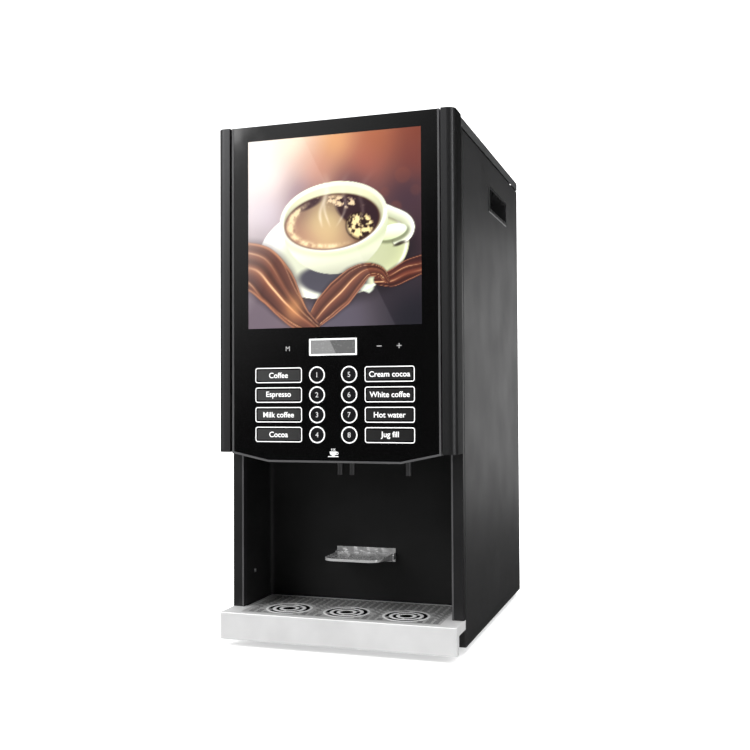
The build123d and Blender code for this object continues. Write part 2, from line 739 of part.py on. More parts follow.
# ---- Hoses: boiler to bowls, boiler to water nozzle, bowls to nozzles, inlet to boiler -------
def hose(points, radius):
    """Adds a silicone tube along straight runs joined by arcs; points are (x, depth, z)."""
    spots = [(x, glass_y + d, z) for x, d, z in points]
    with BuildLine(mode=Mode.PRIVATE) as route:
        if len(spots) == 2:
            Line(*spots)
        else:
            FilletPolyline(*spots, radius=radius)
    path = route.wires()[0]
    with BuildSketch(Plane(path @ 0, z_dir=path % 0), mode=Mode.PRIVATE) as ring:
        Circle(hose_radius)
        Circle(hose_bore, mode=Mode.SUBTRACT)
    tube = sweep(ring.sketch, path=path)
    print(f"hose of {path.length:.0f} mm, arcs of {radius:.1f} mm, {tube.volume:.0f} mm3 so far")


bowl_bend = 35.0
water_bend = 24.0
mix_bend = 5.4
with BuildPart() as hoses:
    for x in (-bowl_x, bowl_x):
        hose(
            [(x, valve_depth, spigot_top), (x, valve_depth, bowl_hose_z), (x, spigot_end, bowl_hose_z)],
            bowl_bend,
        )
        nozzle_x = mix_nozzle_x if x > 0 else -mix_nozzle_x
        hose(
            [
                (x, outlet_end, outlet_z), (x, nozzle_depth, outlet_z),
                (nozzle_x, nozzle_depth, outlet_z), (nozzle_x, nozzle_depth, nozzle_top),
            ],
            mix_bend,
        )
    hose(
        [
            (water_nozzle_x, valve_depth, spigot_top), (water_nozzle_x, valve_depth, water_hose_z),
            (water_nozzle_x, nozzle_depth, water_hose_z), (water_nozzle_x, nozzle_depth, nozzle_top),
        ],
        water_bend,
    )
    hose(
        [(inlet_x, boiler_rear + tank_spigot, inlet_z), (inlet_x, valve_front - inlet_spigot, inlet_z)],
        0,
    )
save(hoses, "hoses")

# ---- Power supply and control board ---------------------------------------------------------
supply_left, supply_right = -60.0, 70.0
supply_front, supply_rear = 400.0, 495.0
supply_height = 45.0
supply_corner = 3.0
with BuildPart() as power_supply:
    block(
        supply_left, supply_right, supply_front, supply_rear,
        base_top + fit_gap, base_top + supply_height,
    )
    fillet(power_supply.edges().filter_by(Axis.Z), supply_corner)
save(power_supply, "power_supply")

board_standoff = 9.0
board_sheet = 1.6
board_front_edge, board_rear_edge = 240.0, 400.0
board_low_edge, board_high_edge = 330.0, 450.0
standoff_inset, standoff_radius = 6.0, 3.0
board_face = inside - fit_gap - board_standoff
board_back = board_face - board_sheet
with BuildPart() as control_board:
    block(board_back, board_face, board_front_edge, board_rear_edge, board_low_edge, board_high_edge)
    for d in (board_front_edge + standoff_inset, board_rear_edge - standoff_inset):
        for z in (board_low_edge + standoff_inset, board_high_edge - standoff_inset):
            rod_x(board_face, inside - fit_gap, d, z, standoff_radius)
    transformer = (20, 20, 60, 20, 50)  # height, then the spans along the board and up it
    relays = (14, 80, 140, 70, 100)
    processor = (10, 90, 112, 15, 37)
    for height, front, rear, low, high in (transformer, relays, processor):
        block(
            board_face - height, board_back, board_front_edge + front, board_front_edge + rear,
            board_low_edge + low, board_low_edge + high,
        )
save(control_board, "control_board")

# ---- Exhaust fan ----------------------------------------------------------------------------
fan_rear = rear_inner - fit_gap
fan_front = fan_rear - fan_depth
fan_wall = 2.0
fan_corner = 4.0
fan_hub = 15.0
spider = 4.0  # depth and width of the arms that carry the hub
rotor_hub = 14.0
blade_count = 7
blade_middle = 24.0
blade_pitch = 38.0  # degrees
with BuildPart() as fan_housing:
    block(
        fan_x - fan_size / 2, fan_x + fan_size / 2, fan_front, fan_rear,
        fan_z - fan_size / 2, fan_z + fan_size / 2,
    )
    fillet(fan_housing.edges().filter_by(Axis.Y), fan_corner)
    rod_y(fan_x, fan_front - 1, fan_rear + 1, fan_z, fan_size / 2 - fan_wall, mode=Mode.SUBTRACT)
    rod_y(fan_x, fan_rear - spider, fan_rear, fan_z, fan_hub)
    for angle in (45, 135):
        with Locations(Location((fan_x, glass_y + fan_rear - spider / 2, fan_z), (0, angle, 0))):
            Box(fan_size - 1.5 * fan_wall, spider, spider)
save(fan_housing, "fan_housing")

with BuildPart() as fan_rotor:
    rod_y(fan_x, fan_front + 1, fan_rear - spider - fit_gap, fan_z, rotor_hub)
    for blade in range(blade_count):
        turn = Location((fan_x, glass_y + fan_front + 11, fan_z), (0, blade * 360 / blade_count, 0))
        with Locations(turn * Location((0, 0, blade_middle), (0, 0, blade_pitch))):
            Box(1.6, 18, 23)
save(fan_rotor, "fan_rotor")

# ---- Power entry module: mains inlet and a rocker switch in one moulding --------------------
rocker_x = power_x + 24.0
rocker_half = 8.0
rocker_tall = 12.0
rocker_pit = 12.0
rocker_pivot = rear_face - 4.0
rocker_pin, rocker_pin_reach = 1.5, 2.3
module_front = rear_inner - 24.0
module_flange = 2.0
module_inset = module_lip + fit_gap
module_corner = 4.0
socket_left, socket_right, socket_half = 34.0, 8.0, 9.0  # from the module's middle
socket_depth = 16.0
blade_half, blade_tall_half = 1.0, 2.5
blade_spots = ((-28, -3), (-14, -3), (-21, 4))
with BuildPart() as power_inlet:
    block(
        power_x - module_half, power_x + module_half, rear_face, rear_face + module_flange,
        power_z - module_height / 2, power_z + module_height / 2,
    )
    fillet(power_inlet.edges().filter_by(Axis.Y), module_corner)
    block(
        power_x - module_half + module_inset, power_x + module_half - module_inset,
        module_front, rear_face,
        power_z - module_height / 2 + module_inset, power_z + module_height / 2 - module_inset,
    )
    block(
        power_x - socket_left, power_x - socket_right, rear_face - socket_depth, rear_face + 3,
        power_z - socket_half, power_z + socket_half, mode=Mode.SUBTRACT,
    )
    for pin_x, pin_z in blade_spots:
        block(
            power_x + pin_x - blade_half, power_x + pin_x + blade_half,
            rear_face - socket_depth, rear_face - 3,
            power_z + pin_z - blade_tall_half, power_z + pin_z + blade_tall_half,
        )
    block(
        rocker_x - rocker_half - fit_gap, rocker_x + rocker_half + fit_gap, rear_face - rocker_pit,
        rear_face + 3, power_z - rocker_tall - 1, power_z + rocker_tall + 1, mode=Mode.SUBTRACT,
    )
    for side in (-1, 1):
        wall = rocker_x + side * (rocker_half + fit_gap)
        near, far = sorted((wall, wall - side * rocker_pin_reach))
        rod_x(near, far, rocker_pivot, power_z, rocker_pin)
save(power_inlet, "power_inlet")

with BuildPart() as power_rocker:
    rocker_side = (rocker_x - rocker_half, glass_y + rocker_pivot, power_z)
    with BuildSketch(Plane(rocker_side, x_dir=(0, 1, 0), z_dir=(1, 0, 0))):
        with BuildLine():
            Polyline(
                (-5.5, -6), (4.5, -11.2), (6.5, -11.2), (4.2, 0), (6.5, 11.2), (4.5, 11.2),
                (-5.5, 6), close=True,
            )
        make_face()
    extrude(amount=2 * rocker_half)
    rod_x(
        rocker_x - rocker_half - 1, rocker_x + rocker_half + 1, rocker_pivot, power_z,
        rocker_pin + run_gap, mode=Mode.SUBTRACT,
    )
save(power_rocker, "power_rocker")

# ---- Cup shelf: flip-up plate on a bracket in the bay ---------------------------------------
cup_shelf_half = 48.0
cup_shelf_front = 73.0
cup_shelf_z = 129.0
shelf_plate = 1.5
shelf_lip = 9.0
pivot_d = 147.0
pivot_z = 127.0
pivot_radius = 2.0
bracket_rear = bay_depth - 0.1
bracket_sheet = 1.6
ear_sheet = 2.0
ear_radius = 5.0
bracket_drop, bracket_rise = 10.0, 12.0
with BuildPart() as cup_shelf_bracket:
    ear = cup_shelf_half + 1.0
    ear_outer = ear + ear_sheet
    plate_front = bracket_rear - bracket_sheet
    block(-ear_outer, ear_outer, plate_front, bracket_rear, pivot_z - bracket_drop, pivot_z + bracket_rise)
    for side in (-1, 1):
        near, far = sorted((side * ear, side * ear_outer))
        block(near, far, pivot_d, plate_front, pivot_z - ear_radius, pivot_z + ear_radius)
        rod_x(near, far, pivot_d, pivot_z, ear_radius)
    rod_x(-ear_outer, ear_outer, pivot_d, pivot_z, pivot_radius)
save(cup_shelf_bracket, "cup_shelf_bracket")

with BuildPart() as cup_shelf:
    top = cup_shelf_z
    low = top - shelf_plate
    block(-cup_shelf_half, cup_shelf_half, cup_shelf_front, pivot_d, low, top)
    block(
        -cup_shelf_half, cup_shelf_half, cup_shelf_front, cup_shelf_front + shelf_plate,
        top - shelf_lip, top,
    )
    fillet(cup_shelf.faces().sort_by(Axis.Y)[0].edges().group_by(Axis.Z)[-1], 1.2)
    for side in (-1, 1):
        near, far = sorted((side * cup_shelf_half, side * (cup_shelf_half - shelf_plate)))
        block(near, far, cup_shelf_front, pivot_d - 8, top - shelf_lip, top)
    rod_x(-cup_shelf_half, cup_shelf_half, pivot_d, pivot_z, pivot_radius + 2)
    rod_x(
        -cup_shelf_half - 1, cup_shelf_half + 1, pivot_d, pivot_z, pivot_radius + run_gap,
        mode=Mode.SUBTRACT,
    )
save(cup_shelf, "cup_shelf")

# ---- Drip tray: steel cover, plastic pan and a lift-out grid --------------------------------
cover_sheet = 1.5
tray_flange = 14.0
tray_return = 13.0
grid_half = 161.0
grid_front = 13.0
grid_rear = 148.0
cover_rear = 152.0
grid_sheet = 1.5
tray_round = 1.2
tray_clear = 2.0  # between the cover and the bay's sides, and behind its side flanges
with BuildPart() as tray_cover:
    cover_half = lip_half - tray_clear
    block(-half, half, 0, cover_sheet, base_z, tray_top)
    block(-half, half, 0, cabinet_front - tray_clear, tray_top - cover_sheet, tray_top)
    block(-cover_half, cover_half, 0, cover_rear, tray_top - cover_sheet, tray_top)
    for side in (-1, 1):
        near, far = sorted((side * half, side * (half - cover_sheet)))
        block(near, far, 0, cabinet_front - tray_clear, tray_top - tray_flange, tray_top)
        block(near, far, 0, tray_return, base_z, tray_top)
    front_edges = tray_cover.faces().sort_by(Axis.Y)[0].edges()
    fillet(front_edges, tray_round)
    block(
        -grid_half, grid_half, grid_front, grid_rear, tray_top - 2 * cover_sheet, tray_top + 1,
        mode=Mode.SUBTRACT,
    )
save(tray_cover, "tray_cover")

pan_inset = 2.0
pan_half = grid_half - pan_inset
pan_low = base_top + fit_gap
pan_high = tray_top - cover_sheet - fit_gap
pan_wall = 2.0
pan_front = grid_front + pan_inset
pan_rear = grid_rear - pan_inset
rim_sides, rim_front, rim_rear = 5.0, 6.0, 5.0
with BuildPart() as drip_pan:
    block(-pan_half, pan_half, pan_front, pan_rear, pan_low, pan_high - grid_sheet)
    block(
        -pan_half - rim_sides, pan_half + rim_sides, pan_front - rim_front, pan_rear + rim_rear,
        pan_high - grid_sheet, pan_high,
    )
    block(
        -pan_half + pan_wall, pan_half - pan_wall, pan_front + pan_wall, pan_rear - pan_wall,
        pan_low + pan_wall, pan_high + 1, mode=Mode.SUBTRACT,
    )
save(drip_pan, "drip_pan")

cup_ring_xs = (-97.0, 0.0, 97.0)
cup_ring_depth = 57.5
ring_slots = ((27.0, 32.5, 90), (16.0, 21.0, 30))
drain_hole = 10.0
spoke_width = 7.0
slot_length, slot_width = 14.0, 4.0
slot_columns, slot_rows = 15, 3
slot_pitch_x, slot_pitch_y = 20.0, 12.0
slots_inset = 28.0  # middle of the rows, from the grid opening's rear edge
with BuildPart() as drip_grid:
    plate_depth = grid_rear - grid_front - 2 * fit_gap
    cup_centres = [(x, glass_y + cup_ring_depth) for x in cup_ring_xs]
    with BuildSketch(Plane.XY.offset(tray_top - grid_sheet)):
        with Locations((0, glass_y + (grid_front + grid_rear) / 2)):
            Rectangle(2 * (grid_half - fit_gap), plate_depth)
        with Locations((0, glass_y + grid_rear - slots_inset)):
            with GridLocations(slot_pitch_x, slot_pitch_y, slot_columns, slot_rows):
                SlotOverall(slot_length, slot_width, mode=Mode.SUBTRACT)
    extrude(amount=grid_sheet)
    with BuildSketch(Plane.XY.offset(tray_top - grid_sheet)):
        for inner_radius, outer_radius, first_spoke in ring_slots:
            with Locations(*cup_centres):
                Circle(outer_radius)
                Circle(inner_radius, mode=Mode.SUBTRACT)
                with PolarLocations((inner_radius + outer_radius) / 2, 3, first_spoke):
                    Rectangle(outer_radius - inner_radius + 2, spoke_width, mode=Mode.SUBTRACT)
        with Locations(*cup_centres):
            Circle(drain_hole)
    extrude(amount=grid_sheet, mode=Mode.SUBTRACT)
save(drip_grid, "drip_grid")

# ---- Door frame: moulded tray behind the glass, with a chin along its lower edge -------------
web_front = glass_thickness + 1.6
web_rear = web_front + 2.5
back_cover = 1.5


def door_slab(front, rear, inset, top_inset, mode=Mode.ADD):
    """A slab in the door's outline: straight sides, a square top and a chin below."""
    slope = (chin_corner_z - chin_z) / (frame_half - chin_half)
    lift = inset * sqrt(1 + slope**2)
    corner_z = chin_corner_z + lift - slope * inset
    shift = (lift - inset) / slope
    with BuildSketch(front_plane(front), mode=Mode.PRIVATE) as outline:
        with BuildLine():
            Polyline(
                (-frame_half + inset, machine_top - top_inset),
                (frame_half - inset, machine_top - top_inset),
                (frame_half - inset, corner_z), (chin_half - shift, chin_z + inset),
                (-chin_half + shift, chin_z + inset), (-frame_half + inset, corner_z), close=True,
            )
        make_face()
    extrude(outline.sketch, amount=front - rear, mode=mode)


def key_centres():
    """The centres of the eight drink keys, left column first."""
    return [(side * key_x, z) for side in (-1, 1) for z in key_rows]


key_hole = key_radius + 0.4
poster_mid = (poster_low + poster_high) / 2
poster_tall = poster_high - poster_low
display_mid = (display_low + display_high) / 2
display_tall = display_high - display_low
display_clear = 0.3
lightbox_margin = 6.0
with BuildPart() as door_frame:
    door_slab(-rim_proud, door_back, 0, 0)
    door_slab(-rim_proud - 1, web_front, frame_rim, -1, mode=Mode.SUBTRACT)
    door_slab(web_rear, door_back + 1, frame_rim, frame_rim, mode=Mode.SUBTRACT)
    with BuildSketch(front_plane(web_front)):
        with Locations((0, poster_mid)):
            Rectangle(2 * (poster_half - lightbox_margin), poster_tall - 2 * lightbox_margin)
        with Locations((0, display_mid)):
            Rectangle(2 * (display_half + display_clear), display_tall + 2 * display_clear)
        with Locations(*key_centres()):
            Circle(key_hole)
    extrude(amount=web_front - web_rear, mode=Mode.SUBTRACT)
    rod_z(
        lock_x, lock_depth, chin_z - 1, chin_z + frame_rim + 1, lock_radius + fit_gap,
        mode=Mode.SUBTRACT,
    )
save(door_frame, "door_frame")

# ---- Door glass: one black printed pane, drilled for the keys --------------------------------
with BuildPart() as door_glass:
    door_slab(0, glass_thickness, frame_rim + glass_gap, 0)
    for x, z in key_centres():
        rod_y(x, -1, glass_thickness + 1, z, key_hole, mode=Mode.SUBTRACT)
save(door_glass, "door_glass")

# ---- Behind the glass: poster, drink labels, display, lightbox and key board ------------------
print_front = glass_thickness + fit_gap
print_sheet = 1.0
with BuildPart() as poster:
    block(-poster_half, poster_half, print_front, print_front + print_sheet, poster_low, poster_high)
save(poster, "poster")

with BuildPart() as drink_labels:
    with BuildSketch(front_plane(print_front)):
        for z in key_rows:
            for side in (-1, 1):
                with Locations((side * (label_inner + label_outer) / 2, z)):
                    RectangleRounded(label_outer - label_inner, label_height, label_corner)
    extrude(amount=-print_sheet)
save(drink_labels, "drink_labels")

display_rear = 16.0
display_frame = 2.0
display_recess = 0.6
module_margin_x, module_margin_z = 6.0, 4.0  # display's circuit module, beyond the window
with BuildPart() as display:
    block(-display_half, display_half, print_front, display_rear, display_low, display_high)
    block(
        -display_half + display_frame, display_half - display_frame, print_front - 1,
        print_front + display_recess, display_low + display_frame, display_high - display_frame,
        mode=Mode.SUBTRACT,
    )
    block(
        -display_half - module_margin_x, display_half + module_margin_x, web_rear + fit_gap,
        display_rear, display_low - module_margin_z, display_high + module_margin_z,
    )
save(display, "display")

lightbox_rear = 30.0
lightbox_wall = 2.0
lamp_rows = 4
lamp_inset, lamp_half, lamp_sheet = 12.0, 6.0, 1.6
with BuildPart() as lightbox:
    box_front = web_rear + fit_gap
    block(-poster_half, poster_half, box_front, lightbox_rear, poster_low, poster_high)
    block(
        -poster_half + lightbox_wall, poster_half - lightbox_wall, box_front - 1,
        lightbox_rear - lightbox_wall, poster_low + lightbox_wall, poster_high - lightbox_wall,
        mode=Mode.SUBTRACT,
    )
    lamp_rear = lightbox_rear - lightbox_wall
    for row in range(lamp_rows):
        z = poster_low + poster_tall * (row + 0.5) / lamp_rows
        block(
            -poster_half + lamp_inset, poster_half - lamp_inset, lamp_rear - lamp_sheet, lamp_rear,
            z - lamp_half, z + lamp_half,
        )
save(lightbox, "lightbox")

key_flange = 1.5
flange_radius = key_radius + 2.0
flange_front = web_rear + fit_gap
stem_end = flange_front + key_flange + 2.2
board_front = stem_end + key_travel + 1.2
board_half = 132.0
board_low = key_rows[-1] - 20
board_high = key_rows[0] + 22
board_rear = board_front + board_sheet
switch_half, switch_proud = 4.0, 1.1
post_inset_x, post_inset_z, post_radius = 6.0, 5.0, 3.0
driver_chip = (-60, -20, 30, 60, 6.4)  # its span in x, its span above the board's edge, and its height
plug_header = (40, 90, 70, 84, 10.4)
with BuildPart() as key_board:
    block(-board_half, board_half, board_front, board_rear, board_low, board_high)
    for x, z in key_centres():
        block(
            x - switch_half, x + switch_half, board_front - switch_proud, board_front,
            z - switch_half, z + switch_half,
        )
    for x in (-board_half + post_inset_x, 0, board_half - post_inset_x):
        for z in (board_low + post_inset_z, board_high - post_inset_z):
            rod_y(x, flange_front, board_front, z, post_radius)
    for left, right, low, high, height in (driver_chip, plug_header):
        block(left, right, board_rear, board_rear + height, board_low + low, board_low + high)
save(key_board, "key_board")

# ---- Drink keys: eight sprung caps, each with a retaining flange and a stem -------------------
cap_proud = 0.7
cap_round = 0.5
stem_radius = 2.5
for number, (x, z) in enumerate(key_centres(), start=1):
    with BuildPart() as drink_key:
        rod_y(x, -cap_proud, flange_front + key_flange, z, key_radius)
        fillet(drink_key.faces().sort_by(Axis.Y)[0].edges(), cap_round)
        rod_y(x, flange_front, flange_front + key_flange, z, flange_radius)
        rod_y(x, flange_front, stem_end, z, stem_radius)
    save(drink_key, f"drink_key_{number}")

# ---- Door back cover: sheet that closes the door, slotted for the lock cam --------------------
vent_rows = 12
with BuildPart() as door_back_cover:
    door_slab(door_back - back_cover, door_back, frame_rim + fit_gap, frame_rim + fit_gap)
    for row in range(vent_rows):
        z = poster_mid + (row - (vent_rows - 1) / 2) * louvre_pitch
        block(
            -louvre_width, louvre_width, door_back - 5, door_back + 5,
            z - louvre_height / 2, z + louvre_height / 2, mode=Mode.SUBTRACT,
        )
    block(slot_near, slot_far, door_back - 5, door_back + 5, slot_low, slot_high, mode=Mode.SUBTRACT)
save(door_back_cover, "door_back_cover")

# ---- Lock: barrel in the door's chin, its plug carries a cam that hooks behind the bay's lip --
plug_radius = 5.0
lock_head = 1.5
lock_head_width = 2.0
cam_hub = 8.0
cam_corner = 3.0
keyway_half, keyway_sheet_half, keyway_depth = 2.5, 0.6, 5.0
with BuildPart() as lock_barrel:
    rod_z(lock_x, lock_depth, chin_z - lock_head, cam_low - fit_gap, lock_radius)
    rod_z(lock_x, lock_depth, chin_z - lock_head, chin_z - fit_gap, lock_radius + lock_head_width)
    rod_z(lock_x, lock_depth, chin_z - 5, cam_low + 5, plug_radius + run_gap, mode=Mode.SUBTRACT)
save(lock_barrel, "lock_barrel")

with BuildPart() as lock_cam:
    rod_z(lock_x, lock_depth, chin_z - 1, cam_low + cam_sheet, plug_radius)
    rod_z(lock_x, lock_depth, cam_low, cam_low + cam_sheet, cam_hub)
    block(
        lock_x - cam_reach, lock_x, lock_depth - cam_half, lock_depth + cam_half,
        cam_low, cam_low + cam_sheet,
    )
    fillet(lock_cam.edges().filter_by(Axis.Z).group_by(Axis.X)[0], cam_corner)
    block(
        lock_x - keyway_half, lock_x + keyway_half,
        lock_depth - keyway_sheet_half, lock_depth + keyway_sheet_half,
        chin_z - 2, chin_z + keyway_depth, mode=Mode.SUBTRACT,
    )
save(lock_cam, "lock_cam")

# ---- Door trims: rounded edge mouldings, the left one notched for the hinges -----------------
trim_wall = 2.5
trim_rear_radius = 5.0
trim_seat = 30.0
trim_solid = 90.0
notch = hinge_inset + knuckle_radius + hinge_running
pin_bury = 10.0  # length of pin held in the trim above and below each notch
trim_mid_y = glass_y + (door_back - trim_proud) / 2
hollow_inner, hollow_outer = trim_inner - 1, trim_outer - trim_wall
with BuildPart() as right_trim:
    with BuildSketch(Plane.XY.offset(trim_bottom)) as section:
        with Locations(((trim_inner + trim_outer) / 2, trim_mid_y)):
            Rectangle(trim_outer - trim_inner, door_back + trim_proud)
        fillet(section.vertices().group_by(Axis.Y)[0].sort_by(Axis.X)[-1], trim_radius)
        fillet(section.vertices().group_by(Axis.Y)[-1].sort_by(Axis.X)[-1], trim_rear_radius)
    extrude(amount=machine_top - trim_bottom)
    with BuildSketch(Plane.XY.offset(trim_bottom + trim_solid)) as hollow:
        with Locations(((hollow_inner + hollow_outer) / 2, trim_mid_y)):
            Rectangle(hollow_outer - hollow_inner, door_back + trim_proud - 2 * trim_wall)
        fillet(hollow.vertices().group_by(Axis.Y)[0].sort_by(Axis.X)[-1], trim_radius - trim_wall)
        fillet(hollow.vertices().group_by(Axis.Y)[-1].sort_by(Axis.X)[-1], trim_rear_radius - trim_wall)
    extrude(amount=machine_top - trim_bottom - 2 * trim_solid, mode=Mode.SUBTRACT)
    block(frame_half + fit_gap, trim_inner + trim_wall, trim_seat, door_back, trim_bottom, machine_top)

with BuildPart() as door_trims:
    mirror(right_trim.part, about=Plane.YZ)
    for z in hinge_heights:
        block(
            -trim_outer - 1, -trim_outer + notch, door_back - notch, door_back + 1,
            z, z + hinge_height, mode=Mode.SUBTRACT,
        )
        rod_z(
            -hinge_x, hinge_depth, z - pin_bury, z + hinge_height + pin_bury, hinge_pin,
            mode=Mode.SUBTRACT,
        )
    add(right_trim.part)
save(door_trims, "door_trims")

with BuildPart() as door_hinge_pins:
    for z in hinge_heights:
        rod_z(-hinge_x, hinge_depth, z - pin_bury, z + hinge_height + pin_bury, hinge_pin)
save(door_hinge_pins, "door_hinge_pins")

# ---- Hinge leaves on the cabinet: door knuckles in front, lid knuckles at the rear ------------
leaf_sheet = 1.3
leaf_reach = 3.0
lid_pin_depth = glass_to_rear + 5.2
lid_pin_z = lid_low
lid_knuckle = 3.2
lid_pin = 1.5
lid_hinge_xs = (-120.0, 120.0)
knuckle_gap = 0.6  # above and below each door knuckle
leaf_half = 20.0
lid_knuckle_half = 7.0
lid_leaf_low, lid_leaf_high = side_top - 32.0, side_top - 4.0
lid_arm_low = side_top - 8.0
with BuildPart() as hinge_leaves:
    for z in hinge_heights:
        low, high = z + knuckle_gap, z + hinge_height - knuckle_gap
        block(-half + 1.5, -pillar_inner - 1, frame_front - leaf_sheet - 0.1, frame_front - 0.1, low, high)
        block(-hinge_x - leaf_reach, -hinge_x + leaf_reach, hinge_depth, frame_front - 0.2, low, high)
        rod_z(-hinge_x, hinge_depth, low, high, knuckle_radius)
    for z in hinge_heights:
        rod_z(-hinge_x, hinge_depth, z, z + hinge_height, hinge_pin + run_gap, mode=Mode.SUBTRACT)
    for x in lid_hinge_xs:
        left, right = x - lid_knuckle_half, x + lid_knuckle_half
        block(
            x - leaf_half, x + leaf_half, rear_face, rear_face + leaf_sheet,
            lid_leaf_low, lid_leaf_high,
        )
        block(left, right, rear_face, lid_pin_depth, lid_arm_low, lid_leaf_high)
        block(left, right, lid_pin_depth - 2, lid_pin_depth + 2, lid_arm_low, lid_pin_z)
        rod_x(left, right, lid_pin_depth, lid_pin_z, lid_knuckle)
        rod_x(x - leaf_half, x + leaf_half, lid_pin_depth, lid_pin_z, lid_pin)
save(hinge_leaves, "hinge_leaves")

# ---- Top lid: folded sheet cover over the canisters ------------------------------------------
lid_front = frame_front + 0.5
lid_bevel = 4.0
lid_round = 1.5
with BuildPart() as top_lid:
    block(-half, half, lid_front, glass_to_rear, lid_low, machine_top)
    upper = top_lid.faces().sort_by(Axis.Z)[-1].edges()
    chamfer(upper.sort_by(Axis.Y)[-1], lid_bevel)
    fillet(top_lid.faces().sort_by(Axis.Z)[-1].edges(), lid_round)
    block(
        -inside, inside, lid_front + skin, glass_to_rear - skin, lid_low - 1,
        machine_top - skin, mode=Mode.SUBTRACT,
    )
save(top_lid, "top_lid")

lid_leaf_front, lid_leaf_rear = glass_to_rear + 0.1, glass_to_rear + 1.4
lid_leaf_height = 10.0
lid_arm_height = 3.0
with BuildPart() as lid_hinge_leaves:
    for x in lid_hinge_xs:
        block(
            x - leaf_half, x + leaf_half, lid_leaf_front, lid_leaf_rear, lid_low, lid_low + lid_leaf_height,
        )
        for side in (-1, 1):
            near, far = sorted((x + side * (lid_knuckle_half + 0.4), x + side * (leaf_half - 1)))
            rod_x(near, far, lid_pin_depth, lid_pin_z, lid_knuckle)
            block(near, far, lid_leaf_front, lid_pin_depth, lid_low, lid_low + lid_arm_height)
    for x in lid_hinge_xs:
        rod_x(
            x - leaf_half - 1, x + leaf_half + 1, lid_pin_depth, lid_pin_z, lid_pin + run_gap,
            mode=Mode.SUBTRACT,
        )
save(lid_hinge_leaves, "lid_hinge_leaves")
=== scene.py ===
"""Looks of a table-top hot drinks machine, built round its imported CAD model. Metres, +Z up, front to -Y."""
import math

import bmesh
import bpy
import numpy as np
from mathutils import Matrix, Vector


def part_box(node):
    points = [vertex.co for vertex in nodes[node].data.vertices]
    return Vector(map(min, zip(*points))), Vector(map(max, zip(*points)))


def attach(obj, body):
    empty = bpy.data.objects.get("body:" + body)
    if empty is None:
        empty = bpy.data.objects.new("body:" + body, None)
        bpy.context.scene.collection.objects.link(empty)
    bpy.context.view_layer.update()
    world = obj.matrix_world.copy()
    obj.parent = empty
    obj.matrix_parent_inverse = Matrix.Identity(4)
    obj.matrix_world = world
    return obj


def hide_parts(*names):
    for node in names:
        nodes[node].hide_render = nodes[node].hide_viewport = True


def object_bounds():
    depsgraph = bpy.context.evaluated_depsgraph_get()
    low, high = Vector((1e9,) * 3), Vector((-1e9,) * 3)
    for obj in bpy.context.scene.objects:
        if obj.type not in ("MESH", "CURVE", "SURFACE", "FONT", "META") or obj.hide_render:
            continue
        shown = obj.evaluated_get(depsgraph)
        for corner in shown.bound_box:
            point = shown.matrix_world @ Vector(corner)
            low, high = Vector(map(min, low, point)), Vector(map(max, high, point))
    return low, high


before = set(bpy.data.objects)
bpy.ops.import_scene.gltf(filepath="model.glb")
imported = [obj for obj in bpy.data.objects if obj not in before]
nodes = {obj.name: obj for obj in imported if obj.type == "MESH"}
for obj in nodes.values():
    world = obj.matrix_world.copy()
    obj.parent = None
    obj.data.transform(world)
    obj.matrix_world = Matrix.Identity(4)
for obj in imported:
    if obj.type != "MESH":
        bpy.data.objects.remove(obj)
cad_low, cad_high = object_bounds()
MM = 0.001

# ---- Studio: pale floor, soft lights and the camera ------------------------------------------
# The machine stands on a pale sweep. The lights are a soft box in front on the left, a long strip
# on the right for the trims, a fill above, and a low glow behind on the right for the side panel.
glass_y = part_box("door_glass")[0].y


def paint(name, colour, roughness=0.5, metallic=0.0, **sockets):
    """A material with its steady values on the shader's own sockets."""
    made = bpy.data.materials.new(name)
    made.use_nodes = True
    shader = made.node_tree.nodes["Principled BSDF"]
    shader.inputs["Base Color"].default_value = (*colour, 1)
    shader.inputs["Roughness"].default_value = roughness
    shader.inputs["Metallic"].default_value = metallic
    for socket, value in sockets.items():
        shader.inputs[socket.replace("_", " ")].default_value = value
    return made


def mesh_piece(name, points, faces, material=None, smooth=False):
    """A mesh object in the object's own frame, with its place in its vertices."""
    mesh = bpy.data.meshes.new(name)
    mesh.from_pydata([tuple(p) for p in points], [], faces)
    mesh.update()
    if smooth:
        mesh.shade_smooth()
    piece = bpy.data.objects.new(name, mesh)
    bpy.context.scene.collection.objects.link(piece)
    if material:
        mesh.materials.append(material)
    return piece


floor_tone = paint(
    "studio_floor", (0.90, 0.90, 0.90), 0.6, Emission_Color=(1, 1, 1, 1), Emission_Strength=0.50
)
sweep_half = 5.0
sweep_front = -2.3
bend_start, bend_radius, sweep_top = 1.6, 2.4, 6.0
sweep_line = [(sweep_front, 0.0), (bend_start, 0.0)]
bend_line = [
    (bend_start + bend_radius * math.sin(a), bend_radius * (1 - math.cos(a)))
    for a in [math.pi / 2 * i / 16 for i in range(17)]
] + [(bend_start + bend_radius, sweep_top)]


def stage_sheet(name, line):
    """A stretch of the pale sweep that follows a line of (y, z) points."""
    points = [(side * sweep_half, y, z) for y, z in line for side in (-1, 1)]
    faces = [(2 * i, 2 * i + 1, 2 * i + 3, 2 * i + 2) for i in range(len(line) - 1)]
    sheet = mesh_piece(name, points, faces, floor_tone, smooth=True)
    return sheet


floor = stage_sheet("studio_floor", sweep_line)
backdrop = stage_sheet("studio_backdrop", bend_line)
floor.visible_glossy = backdrop.visible_glossy = False


